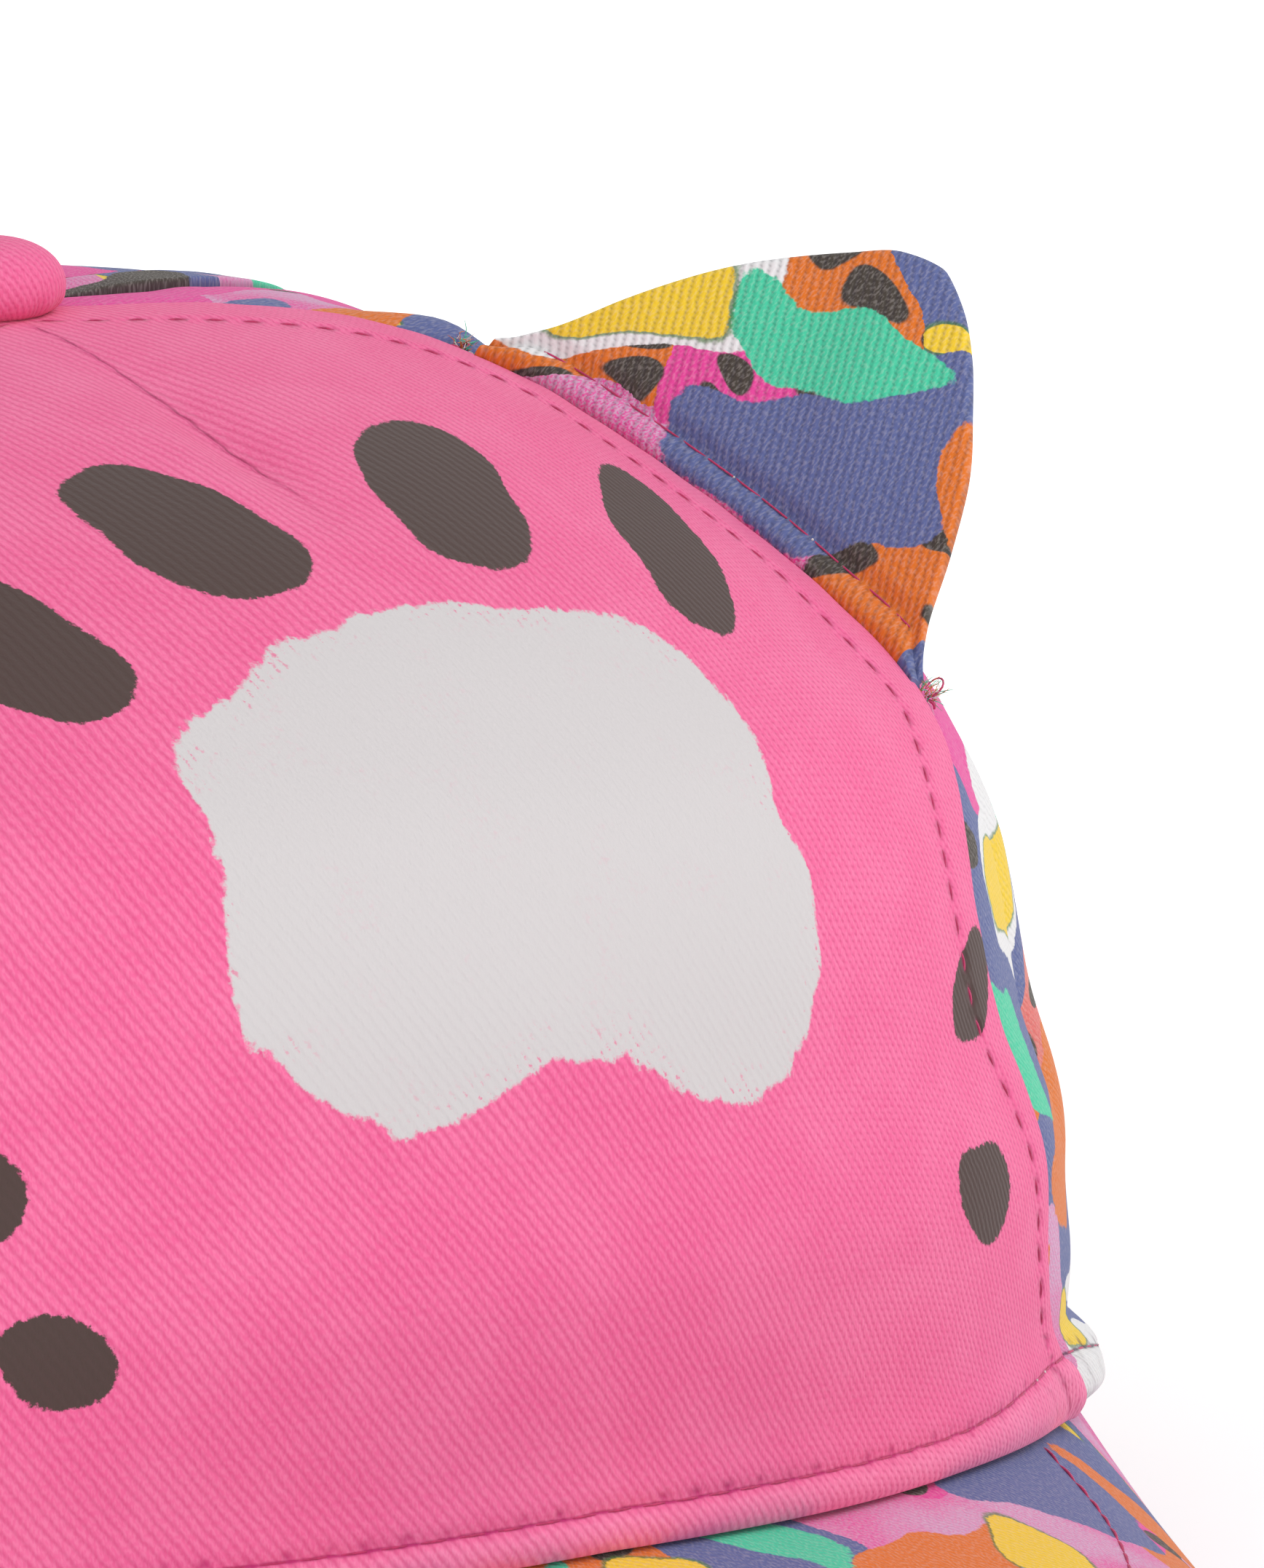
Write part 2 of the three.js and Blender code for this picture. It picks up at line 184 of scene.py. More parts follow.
@dataclass
class CapForm:
    """The cap's main form: the crown's face by angle from the front and lift from rim to button.

    The rim's height and the hem's roll go by angle. The crown's width and length, as shares of the rim's,
    both seams' angles and the dart's depth go by lift. The topstitching's distance from the seam goes by
    height over the rim.
    """

    half_width: float = 77.2
    half_length: float = 89.6
    height: float = 97.0
    button_set_back: float = 3.6
    cloth: float = 1.8
    dart_half_width: float = 3.0
    roll_edge_share: float = 0.6
    roll_full: float = 2.0
    roll_top: float = 3.5
    roll_end: float = 7.5
    tip_lift: float = 88.5
    hem_height: float = 2.75
    hem_climb: float = 2.3
    hem_climb_angle: float = 46.0
    hem_climb_width: float = 20.0
    rim: Curve = Curve(
        {0: 24.2, 25: 22.2, 50: 17.2, 60: 14.7, 75: 11.1, 90: 8.1, 105: 5.6, 120: 3.3}
        | {150: 0.2, 165: 0, 180: 0}
    )
    width_share: Curve = Curve(
        {0: 1, 7: 1, 14: 1, 24: 0.951, 33: 0.925, 43: 0.864}
        | {52: 0.734, 62: 0.591, 70: 0.49, 78: 0.366, 90: 0}
    )
    length_share: Curve = Curve(
        {0: 1, 7: 0.99, 14: 0.988, 24: 0.953, 33: 0.925, 43: 0.869}
        | {52: 0.773, 62: 0.632, 70: 0.492, 78: 0.325, 90: 0}
    )
    front_seam: Curve = Curve(
        {0: 49.5, 2.2: 47.6, 5: 44.4, 9: 42.5, 18: 42.1, 30: 40, 44: 48.7, 58: 58.6, 72: 69.7, 90: 78.5}
    )
    back_seam: Curve = Curve(
        {0: 117, 2.2: 116.8, 5: 116.4, 9: 116, 18: 115, 30: 114, 44: 113, 58: 112, 72: 110, 90: 108}
    )
    dart: Curve = Curve({65: 0, 70: 0.9, 74: 1.6, 80: 1, 86: 0, 90: 0})
    roll: Curve = Curve({0: 0.2, 42: 0.5, 58: 3, 75: 2.6, 110: 1, 180: 0.8})
    topstitch_inset: Curve = Curve(
        {0: 2.5, 8: 2.6, 16: 3.1, 24: 4.6, 32: 5.6, 45: 5.4, 53: 6.8, 62: 6.6, 97: 5.6}
    )

    def outward(self, angle: Array) -> Array:
        """Returns the level outward direction of the rim's ellipse at an angle."""
        turn = np.radians(angle)
        level = np.stack([np.sin(turn) / self.half_width, -np.cos(turn) / self.half_length, 0 * turn], -1)
        return unit(level)

    def plain(self, angle: Array, lift: Array) -> Array:
        """Works out points of the crown's plain form.

        Args:
            angle: The angle from the front.
            lift: The lift from rim to button.

        Returns:
            The points.
        """
        angle, lift = spread(angle, lift)
        turn = np.radians(angle)
        rim = self.rim(np.abs(angle))
        length = self.length_share(lift)
        x = self.half_width * self.width_share(lift) * np.sin(turn)
        y = self.button_set_back * (1 - length) - self.half_length * length * np.cos(turn)
        z = rim + (self.height - rim) * np.sin(np.radians(lift))
        return np.stack([x, y, z], -1)

    def over_rim(self, angle: Array, lift: Array) -> Array:
        """Returns the height over the rim."""
        return (self.height - self.rim(np.abs(angle))) * np.sin(np.radians(lift))

    def face(self, angle: Array, lift: Array) -> Array:
        """Works out the crown's outer face, with the rim's roll and the dart's crease.

        Args:
            angle: The angle from the front.
            lift: The lift from rim to button.

        Returns:
            The points.
        """
        angle, lift = spread(angle, lift)
        point = self.plain(angle, lift)
        over = self.over_rim(angle, lift)
        swell = self.roll_edge_share + (1 - self.roll_edge_share) * smoothstep(over, 0, self.roll_full)
        fade = 1 - smoothstep(over, self.roll_top, self.roll_end)
        point = point + self.outward(angle) * (self.roll(np.abs(angle)) * swell * fade)[..., None]
        crease = self.dart(lift) * bell(point[..., 0], self.dart_half_width)
        point[..., 2] -= np.where(np.abs(angle) < 90, crease, 0)
        return point

    def normal(self, angle: Array, lift: Array) -> Array:
        """Works out the face's outward normals, from close points on it.

        Args:
            angle: The angle from the front.
            lift: The lift from rim to button.

        Returns:
            The normals.
        """
        angle, lift = spread(angle, lift)
        around = self.face(angle + 0.1, lift) - self.face(angle - 0.1, lift)
        upward = self.face(angle, lift + 0.1) - self.face(angle, np.maximum(lift - 0.1, 0))
        return unit(np.cross(around, upward))

    def hem_line(self, angle: Array) -> Array:
        """Returns the height of the hem's stitches over the rim, which climb at the front seams."""
        near = 1 - smoothstep(np.abs(np.abs(angle) - self.hem_climb_angle), 0, self.hem_climb_width)
        return self.hem_height + self.hem_climb * near

    def lift_over(self, angle: Array, height: Array) -> Array:
        """Returns the lift at which the crown stands a given height over its rim."""
        return np.degrees(np.arcsin(height / (self.height - self.rim(np.abs(angle)))))


class Placing:
    """Sets shapes in millimetres about the rim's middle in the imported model's frame in metres."""

    def __init__(self, form: CapForm) -> None:
        """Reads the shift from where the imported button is."""
        low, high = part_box("button")
        self.shift = np.array([0.0, (low.y + high.y) / 2 / MM - form.button_set_back, 0.0])

    def __call__(self, points: Array) -> Array:
        """Returns points in the frame, in metres."""
        return (np.asarray(points, float) + self.shift) * MM


@dataclass
class Surface:
    """Corners, faces, cloth coordinates and named values of a mesh, in millimetres."""

    points: Array
    faces: Array
    cloth: Array
    values: dict[str, Array] = field(default_factory=dict)
    looks: Array | None = None

    def outwards(self) -> Surface:
        """Turns all faces round if they point into the solid.

        Returns:
            The surface itself.
        """
        corners = self.points[self.faces]
        first, third = corners[:, 0], corners[:, 2]
        halves = np.cross(corners[:, 1], third) + np.cross(third, corners[:, 3])
        if float((first * halves).sum()) < 0:
            self.faces = self.faces[:, ::-1]
        return self


def quads(corner: Array, rows_close: bool = False, columns_close: bool = False) -> Array:
    """Makes four-sided faces between a grid's corners.

    Args:
        corner: The corners' numbers, rows by columns.
        rows_close: Whether the last row joins the first.
        columns_close: Whether the last column joins the first.

    Returns:
        The faces' corners, in the grid's rows and columns.
    """
    if rows_close:
        corner = np.concatenate([corner, corner[:1]])
    if columns_close:
        corner = np.concatenate([corner, corner[:, :1]], 1)
    return np.stack([corner[:-1, :-1], corner[:-1, 1:], corner[1:, 1:], corner[1:, :-1]], -1)


def folded_solid(outer: Array, inner: Array, hem: Array, cloth: Array, values: dict[str, Array]) -> Surface:
    """Makes a closed sheet of cloth from its two faces, joined by a rounded fold along the first row.

    Args:
        outer: The outer face's points, rows by columns.
        inner: The inner face's points, in the same rows and columns.
        hem: The rows of points that round the fold, from the inner face's to the outer face's.
        cloth: The outer face's cloth coordinates.
        values: Named values of the outer face's points.

    Returns:
        The closed surface. Its looks are 1 on the inner face and 0 elsewhere.
    """
    rows, columns = outer.shape[:2]
    turns = hem.shape[0]
    sheet = np.concatenate([inner[::-1], hem, outer])
    total = sheet.shape[0]

    def unfolded(value: Array) -> Array:
        """Returns the outer face's values for all of the sheet's rows."""
        return np.concatenate([value[::-1], np.repeat(value[:1], turns, 0), value])

    corner = np.arange(total * columns).reshape(total, columns)
    faces = quads(corner).reshape(-1, 4)
    within, without = corner[:rows][::-1], corner[rows + turns :]
    ends = []
    for column, flip in ((0, False), (columns - 1, True)):
        quad = np.stack(
            [within[:-1, column], without[:-1, column], without[1:, column], within[1:, column]], -1
        )
        ends.append(quad[:, ::-1] if flip else quad)
    fan = corner[rows : rows + turns]
    for column, flip in ((0, False), (columns - 1, True)):
        ring = [within[0, column], *fan[:, column], without[0, column]]
        while len(ring) > 3:
            quad = np.array([[ring[0], ring[1], ring[-2], ring[-1]]])
            ends.append(quad if flip else quad[:, ::-1])
            ring = ring[1:-1]
    top = np.stack([within[-1, :-1], without[-1, :-1], without[-1, 1:], within[-1, 1:]], -1)
    looks = np.zeros(len(faces), int)
    looks[: (rows - 1) * (columns - 1)] = 1
    extra = np.concatenate([*ends, top[:, ::-1]])
    return Surface(
        sheet.reshape(-1, 3),
        np.concatenate([faces, extra]),
        unfolded(cloth).reshape(-1, 2),
        {name: unfolded(value).ravel() for name, value in values.items()},
        np.concatenate([looks, np.zeros(len(extra), int)]),
    ).outwards()


def joined_faces(front: Array, back: Array, cloth: Array) -> Surface:
    """Joins two faces all round into one closed surface.

    Args:
        front: One face's points, columns by rows.
        back: The other's.
        cloth: The cloth coordinates of both.

    Returns:
        The surface.
    """
    columns, rows = front.shape[:2]
    count = columns * rows
    corner = np.arange(count).reshape(columns, rows)
    one = quads(corner).reshape(-1, 4)
    ring = np.concatenate([corner[:, 0], corner[-1, 1:], corner[::-1, -1][1:], corner[0, ::-1][1:]])
    strip = np.stack([ring[:-1], ring[1:], ring[1:] + count, ring[:-1] + count], -1)
    faces = np.concatenate([one[:, ::-1], one + count, strip])
    points = np.concatenate([front.reshape(-1, 3), back.reshape(-1, 3)])
    return Surface(points, faces, np.tile(cloth.reshape(-1, 2), (2, 1))).outwards()


def new_object(name: str, mesh: bpy.types.Mesh) -> bpy.types.Object:
    """Returns a new object that shows a mesh in the scene."""
    made = bpy.data.objects.new(name, mesh)
    bpy.context.scene.collection.objects.link(made)
    return made


def make_piece(
    name: str,
    surface: Surface,
    place: Placing,
    finishes: Sequence[bpy.types.Material],
    stands_in: bool = True,
) -> bpy.types.Object:
    """Makes a smooth-shaded piece of the cap from a surface.

    Args:
        name: The piece's name.
        surface: Its corners and faces, in millimetres.
        place: Sets the corners in the frame.
        finishes: Its materials, picked by the surface's looks.
        stands_in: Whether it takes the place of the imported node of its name.

    Returns:
        The piece, with its place in its mesh.
    """
    mesh = bpy.data.meshes.new(name)
    corners, faces = place(surface.points), surface.faces
    mesh.vertices.add(len(corners))
    mesh.vertices.foreach_set("co", corners.astype(np.float32).ravel())
    mesh.loops.add(faces.size)
    mesh.loops.foreach_set("vertex_index", faces.astype(np.int32).ravel())
    mesh.polygons.add(len(faces))
    mesh.polygons.foreach_set("loop_start", np.arange(0, faces.size, faces.shape[1], dtype=np.int32))
    if surface.looks is not None:
        mesh.polygons.foreach_set("material_index", surface.looks.astype(np.int32))
    for finish in finishes:
        mesh.materials.append(finish)
    layer = mesh.uv_layers.new(name="cloth")
    layer.data.foreach_set("uv", (surface.cloth * MM)[faces.ravel()].astype(np.float32).ravel())
    for label, value in surface.values.items():
        held = mesh.attributes.new(label, "FLOAT", "POINT")
        held.data.foreach_set("value", value.astype(np.float32))
    mesh.update(calc_edges=True)
    mesh.validate()
    mesh.shade_smooth()
    mesh.set_sharp_from_angle(angle=math.radians(60))
    piece = new_object(name, mesh)
    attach(piece, "root")
    if stands_in:
        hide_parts(name)
    log.info("%s: %d faces", name, len(mesh.polygons))
    return piece


def new_material(name: str) -> tuple[bpy.types.Material, Nodes]:
    """Returns a new material and its empty tree."""
    made = bpy.data.materials.new(name)
    made.use_nodes = True
    return made, Nodes(made.node_tree)


class Nodes:
    """A node tree, with one method that makes every node in it."""

    def __init__(self, tree: bpy.types.NodeTree) -> None:
        """Starts with an empty tree."""
        self.tree = tree
        tree.nodes.clear()

    def node(self, kind: str, inputs: dict | None = None, **settings: object) -> bpy.types.Node:
        """Makes a node.

        Args:
            kind: The node's type.
            inputs: Values or links of its input sockets, by name or number.
            settings: Its own properties, such as a ramp's stops, set before its sockets.

        Returns:
            The node.
        """
        made = self.tree.nodes.new(kind)
        for name, value in settings.items():
            if name == "stops":
                self.set_stops(made, value)
            else:
                setattr(made, name, value)
        for name, value in (inputs or {}).items():
            self.feed(made.inputs[name], value)
        return made

    def feed(self, socket: bpy.types.NodeSocket, value: object) -> None:
        """Links or sets an input socket.

        Args:
            socket: The socket.
            value: A value, a node or a socket to link, or an ink, a colour or a number to set.
        """
        if isinstance(value, bpy.types.Node):
            value = value.outputs[0]
        if isinstance(value, Value):
            value = value.socket
        if isinstance(value, Ink):
            value = value.value
        if isinstance(value, bpy.types.NodeSocket):
            self.tree.links.new(value, socket)
        else:
            socket.default_value = value

    @staticmethod
    def set_stops(ramp: bpy.types.Node, stops: Sequence[tuple[float, Ink]]) -> None:
        """Sets a colour ramp's stops.

        Args:
            ramp: The ramp's node.
            stops: Each stop's place and ink.
        """
        elements = ramp.color_ramp.elements
        while len(elements) < len(stops):
            elements.new(0.5)
        for element, (position, ink) in zip(elements, stops):
            element.position = position
            element.color = ink.value

    def value(self, node: bpy.types.Node, output: str | int = 0) -> Value:
        """Returns an output socket as a value that can be reckoned with."""
        return Value(self, node.outputs[output])

    def math(self, operation: str, *operands: object) -> Value:
        """Returns the result of one step of arithmetic on values and numbers."""
        return self.value(self.node("ShaderNodeMath", dict(enumerate(operands)), operation=operation))

    def vector(self, x: object, y: object, z: object = 0.0) -> Value:
        """Returns a vector made from three values."""
        return self.value(self.node("ShaderNodeCombineXYZ", {0: x, 1: y, 2: z}))

    def noise(self, where: Value, scale: float, detail: float = 2.0, rough: float = 0.5) -> Value:
        """Returns flat noise between 0 and 1 at a place."""
        inputs = {"Vector": where, "Scale": scale, "Detail": detail, "Roughness": rough}
        return self.value(self.node("ShaderNodeTexNoise", inputs, noise_dimensions="2D"))

    def blend(self, share: object, first: object, second: object) -> Value:
        """Returns the colour at a share of the way from the first to the second."""
        inputs = {0: share, 6: first, 7: second}
        return self.value(self.node("ShaderNodeMix", inputs, data_type="RGBA", clamp_factor=True), 2)

    def named(self, name: str) -> Value:
        """Returns a mesh's named value."""
        return self.value(self.node("ShaderNodeAttribute", attribute_name=name), "Fac")

    def principled(self, inputs: dict[str, object]) -> None:
        """Ends a material with a shader that has the given inputs."""
        shader = self.node("ShaderNodeBsdfPrincipled", inputs)
        self.node("ShaderNodeOutputMaterial", {"Surface": shader})


class Value:
    """A socket's value, with Python's operators for arithmetic on it."""

    def __init__(self, nodes: Nodes, socket: bpy.types.NodeSocket) -> None:
        """Keeps the socket and the tree that it is in."""
        self.nodes = nodes
        self.socket = socket

    def __add__(self, other: object) -> Value:
        """Returns the sum."""
        return self.nodes.math("ADD", self, other)

    __radd__ = __add__

    def __sub__(self, other: object) -> Value:
        """Returns the difference."""
        return self.nodes.math("SUBTRACT", self, other)

    def __rsub__(self, other: object) -> Value:
        """Returns the difference from a number."""
        return self.nodes.math("SUBTRACT", other, self)

    def __mul__(self, other: object) -> Value:
        """Returns the product."""
        return self.nodes.math("MULTIPLY", self, other)

    __rmul__ = __mul__

    def __truediv__(self, other: object) -> Value:
        """Returns the quotient."""
        return self.nodes.math("DIVIDE", self, other)

    def __neg__(self) -> Value:
        """Returns the negative."""
        return self.nodes.math("MULTIPLY", self, -1.0)

    def cosine(self) -> Value:
        """Returns the cosine."""
        return self.nodes.math("COSINE", self)

    def wave(self, length: float) -> Value:
        """Returns a wave between 0 and 1 that repeats at a length."""
        return (self * (FULL_TURN / length)).cosine() * 0.5 + 0.5

    def bell(self, width: float) -> Value:
        """Returns a bell curve of height 1 round 0."""
        return self.nodes.math("EXPONENT", self * self * (-1 / (width * width)))

    def root(self) -> Value:
        """Returns the square root."""
        return self.nodes.math("SQRT", self)

    def most(self, other: object) -> Value:
        """Returns the larger of two values."""
        return self.nodes.math("MAXIMUM", self, other)

    def least(self, other: object) -> Value:
        """Returns the smaller of two values."""
        return self.nodes.math("MINIMUM", self, other)

    def wrapped(self, width: float) -> Value:
        """Returns the value brought into one repeat round 0."""
        return self.nodes.math("WRAP", self, width / 2, -width / 2)

    def step(self, low: float, high: float) -> Value:
        """Returns a smooth share that climbs from 0 at low to 1 at high."""
        inputs = {"Value": self, "From Min": low, "From Max": high}
        node = self.nodes.node("ShaderNodeMapRange", inputs, interpolation_type="SMOOTHSTEP")
        return self.nodes.value(node)


class Ink(Enum):
    """Colours of the cloth, its prints and its threads, and of the painted shade in its creases and weave
    gaps.
    """

    PINK = srgb("ec6397")
    # Painted shade in the pink weave's gaps; the tape also takes it as its deeper yarn pink.
    PINK_GAP = srgb("c63a70")
    PINK_LIGHT = srgb("f78db4")
    OFF_WHITE = srgb("cdcbcb")
    CHARCOAL = srgb("453f38")
    BLUE = srgb("5c6799")
    MAGENTA = srgb("e2479a")
    LILAC = srgb("cfa6c6")
    ORANGE = srgb("db7326")
    YELLOW = srgb("ecc832")
    GREEN_EDGE = srgb("4e7a35")
    MINT = srgb("47c9a0")
    WHITE = srgb("e4e3e4")
    THREAD = srgb("c92867")
    RAW = srgb("efe6e2")
    # Painted shade of sewn creases and of the sunk hem line, whose deep pink also stands for its thread.
    CREASE = srgb("b8246a")
    SHADE = srgb("4a2340")
    # Painted shade in the printed weave's gaps.
    GAP = (0.02, 0.015, 0.03, 1.0)


@dataclass(frozen=True)
class Spot:
    """A place on the cloth, in millimetres across it and up it, in a material's tree."""

    nodes: Nodes
    u: Value
    v: Value

    def noise(self, scale: float, detail: float = 2.0, rough: float = 0.5) -> Value:
        """Returns flat noise between 0 and 1 there."""
        return self.nodes.noise(self.nodes.vector(self.u, self.v), scale, detail, rough)

    def streaks(self, upward: float, scale: float, detail: float, rough: float) -> Value:
        """Returns noise drawn out up and down the cloth, by a share of that way."""
        return self.nodes.noise(self.nodes.vector(self.u, self.v * upward), scale, detail, rough)

    def fibres(self) -> Value:
        """Returns the fine fibres, which lie up and down the cloth, between 0 and 1."""
        return self.nodes.noise(self.nodes.vector(self.u + self.v * 0.06, self.v * 0.45), 5.0, 1.0, 0.5)

    def moved(self, across: Value, upward: Value) -> Spot:
        """Returns the place shifted across and up the cloth."""
        return Spot(self.nodes, self.u + across, self.v + upward)

    def wander(self, scale: float, reach: float) -> tuple[Value, Value]:
        """Works out two slow shifts at the place.

        Args:
            scale: The noise's scale.
            reach: Twice the farthest shift either way.

        Returns:
            The shifts across and up.
        """
        inputs = {"Vector": self.nodes.vector(self.u, self.v), "Scale": scale, "Detail": 1.0}
        noise = self.nodes.node("ShaderNodeTexNoise", inputs, noise_dimensions="2D")
        parts = self.nodes.node("ShaderNodeSeparateColor", {0: noise.outputs["Color"]})
        return (self.nodes.value(parts, 0) - 0.5) * reach, (self.nodes.value(parts, 1) - 0.5) * reach


@dataclass(frozen=True)
class Weave:
    """A twill: slanting ribs, with pinholes between them where each row of yarn passes under.

    The pitch of the ribs, that of the rows and the drift are in millimetres, and the slant is in degrees.
    """

    pitch: float = 0.7
    slant: float = -57.0
    row: float = 0.49
    knots: float = 0.25
    drift: float = 0.3

    def relief(self, spot: Spot, rows: object = 0.6) -> tuple[Value, Value]:
        """Works out the weave at a place on the cloth.

        Args:
            spot: The place.
            rows: How far the rows of yarn break up the ribs, from 0 to 1.

        Returns:
            The weave's height and how far the place is down in a gap, both from 0 to 1.
        """
        turn = math.radians(self.slant)
        drift = spot.noise(0.75, 2.0, 0.6) * self.drift
        across = spot.u * -math.sin(turn) + spot.v * math.cos(turn) + drift
        rib = across.wave(self.pitch)
        knot = (spot.v + drift * 0.4).wave(self.row)
        height = rib * (1.0 - knot * rows * self.knots)
        gap = (1.0 - rib) * (1.0 - rib) * ((knot * knot * 0.75 - 0.53) * rows + 0.78)
        return height, gap


@dataclass(frozen=True)
class Mark:
    """An oval of ink on the cloth, in millimetres, turned in degrees."""

    u: float
    v: float
    half_length: float
    half_width: float
    turn: float
    ink: Ink = Ink.CHARCOAL

    def inside(self, spot: Spot, repeat: tuple[float, float] | None = None) -> Value:
        """Works out how far a place is inside the mark.

        Args:
            spot: The place on the cloth.
            repeat: The width and height of the pattern's repeat, or None if it has none.

        Returns:
            About the distance inside the mark's edge, in millimetres, negative outside.
        """
        across, upward = spot.u - self.u, spot.v - self.v
        if repeat:
            across, upward = across.wrapped(repeat[0]), upward.wrapped(repeat[1])
        turn = math.radians(self.turn)
        long_way = (across * math.cos(turn) + upward * math.sin(turn)) / self.half_length
        short_way = (upward * math.cos(turn) - across * math.sin(turn)) / self.half_width
        return (1.0 - (long_way * long_way + short_way * short_way).root()) * self.half_width


COAT_MARKING = (
    Mark(0, 55, 24, 19, 3),
    Mark(-11.5, 46, 15, 13, 70),
    Mark(12, 45.5, 15, 12.5, 110),
)
COAT_SPOTS = (
    Mark(-31, 73, 10, 6.6, 122),
    Mark(-11.5, 87, 10.5, 6.8, 99),
    Mark(12, 87.5, 10.5, 6.6, 80),
    Mark(32, 74, 10, 6.4, 56),
    Mark(47, 33, 4.6, 3.1, 35),
    Mark(43, 20, 5.2, 3.3, -20),
    Mark(-46, 31, 5, 3.2, 150),
    Mark(-41, 18, 4.4, 3, 10),
)
REPEAT = (76.0, 62.0)
PEBBLES = tuple(
    Mark(*oval, ink)
    for ink, ovals in (
        (Ink.LILAC, ((15, 12, 12, 7, 22), (58, 36, 11, 7, -38))),
        (Ink.MAGENTA, ((8, 45, 10, 6, -12),)),
        (Ink.BLUE, ((33, 17, 10, 6, -25), (66, 57, 9, 5.5, 40), (57, 45, 11, 6.5, 30))),
        (Ink.WHITE, ((43, 9, 15, 6, -14), (37, 49, 12, 7, 38))),
        (Ink.ORANGE, ((35, 27, 15, 4.2, 30),)),
        (Ink.CHARCOAL, ((66, 11, 9, 5.2, 62),)),
        (Ink.BLUE, ((43, 8, 15, 1.7, -10),)),
        (Ink.MINT, ((24, 36, 9.5, 3.2, 118), (53, 54, 10, 3.1, 12))),
        (Ink.ORANGE, ((70, 51, 6.5, 3.4, -50),)),
        (Ink.MINT, ((2, 25, 7.5, 3, 70),)),
        (Ink.CHARCOAL, ((24, 56, 6, 3.2, -30),)),
        (Ink.ORANGE, ((54, 21, 6, 3.4, 8),)),
        (
            Ink.YELLOW,
            (
                *((47, 31, 4.8, 2.9, 75), (28, 10, 4.4, 2.7, -40), (65, 30, 4.4, 2.6, 30)),
                *((36, 48, 8.5, 4.6, 15), (14, 28, 4.2, 2.5, -20)),
            ),
        ),
        (Ink.CHARCOAL, ((5, 43, 2.6, 1.4, 30), (11, 47, 2.4, 1.3, -25), (12, 41, 2.2, 1.2, 10))),
        (Ink.ORANGE, ((14, 13, 6, 2.4, 40),)),
    )
    for oval in ovals
)


@dataclass(frozen=True)
class Sewn:
    """What sewing does to the cloth near a panel's edges, and the painted shade in its creases; its sizes
    are all in millimetres.

    Each pucker of the hem's roll is a distance from the seam and a depth.
    """

    hem_pitch: float = 2.9
    dart: bool = False
    puckers: tuple[tuple[float, float], ...] = ((2.8, 0.32), (6.0, 0.12))
    groove_width: float = 0.18
    groove_depth: float = 0.12
    dimple_width: float = 0.55
    dimple_depth: float = 0.2
    seam_shade_width: float = 0.2
    flap_width: float = 2.6
    flap_depth: float = 0.24
    slit_width: float = 0.14
    slit_depth: float = 0.17
    hem_line_width: float = 0.13
    hem_line_depth: float = 0.08
    pucker_width: float = 0.42

    def relief(self, spot: Spot) -> tuple[Value, Value]:
        """Works out the sewn lines' creases at a place on the cloth.

        Args:
            spot: The place.

        Returns:
            The relief in millimetres, and how deep the place is in a crease, from 0 to 1, which sets the
            crease's painted shade.
        """
        named, u = spot.nodes.named, spot.u
        uneven = spot.noise(0.45, 1.0)
        relief, crease = self.hem(spot, uneven)
        hole = 0.5 - (named("seam_phase") * FULL_TURN).cosine() * 0.5
        sewn = named("topstitch_away") + (uneven - 0.5) * 0.3
        dash = (1.0 - hole.step(0.0, 1.0)) * named("hem_away").step(0.2, 1.0)
        groove = sewn.bell(self.groove_width) * dash
        dimple = sewn.bell(self.dimple_width) * dash
        relief = relief - groove * self.groove_depth - dimple * self.dimple_depth
        # Painted shade in the topstitching's groove and along the seam's edge.
        crease = crease + groove * 0.45 + named("seam_away").bell(self.seam_shade_width) * 0.3
        if self.dart:
            share = named("dart")
            wavy = u + (spot.nodes.noise(spot.nodes.vector(spot.v, u * 0.2), 0.35, 2.0) - 0.5) * 0.5
            lower = 1.0 - (wavy + 0.12).step(-0.16, 0.16)
            flap = lower * u.bell(self.flap_width) * self.flap_depth
            relief = relief - (flap + wavy.bell(self.slit_width) * self.slit_depth) * share
            relief = relief + (wavy - 0.5).bell(0.4) * share * (0.1 + uneven * 0.1)
            # Painted shade in the dart's slit.
            crease = crease + (wavy + 0.1).bell(0.16) * share * (uneven * 0.4)
        return relief, crease

    def hem(self, spot: Spot, uneven: Value) -> tuple[Value, Value]:
        """Works out the creases of the hem's line, its needle holes and the puckers of its roll.

        Args:
            spot: The place on the cloth.
            uneven: A slow wander between 0 and 1.

        Returns:
            The relief in millimetres, and how deep the place is in a crease, from 0 to 1, which sets the
            crease's painted shade.
        """
        high = spot.nodes.named("hem_away") + (uneven - 0.5) * 0.25
        hole = 0.5 - (spot.u * (FULL_TURN / self.hem_pitch) + uneven * 2.0).cosine() * 0.5
        tick = hole * hole * hole * hole * uneven.step(0.3, 0.7)
        line = high.bell(self.hem_line_width)
        above = (high - 0.42).bell(0.42) * tick
        below = (high + 0.4).bell(0.35) * tick
        relief = line * -self.hem_line_depth - above * 0.12 - below * 0.06
        # Painted shade of the sunk hem line and its needle holes; the line's deep pink also stands for the
        # thread sunk in it.
        crease = line * (hole * 0.2 + 0.7) + above * 0.7 + below * 0.25
        on_roll = (1.0 - high.step(-0.5, 0.0)) * spot.nodes.named("over_rim").step(0.0, 0.8)
        nearest = spot.nodes.named("edge_away")
        for where, depth in self.puckers:
            sloping = nearest - where + (uneven - 0.5) * 0.9 + high * 0.3
            fold = sloping.bell(self.pucker_width) * on_roll
            relief = relief - fold * depth
            # Painted shade in each pucker's fold.
            crease = crease + fold * fold * depth
        ridges = spot.streaks(0.12, 0.85, 2.0, 0.5)
        return relief + (ridges - 0.5) * on_roll * 0.2, crease


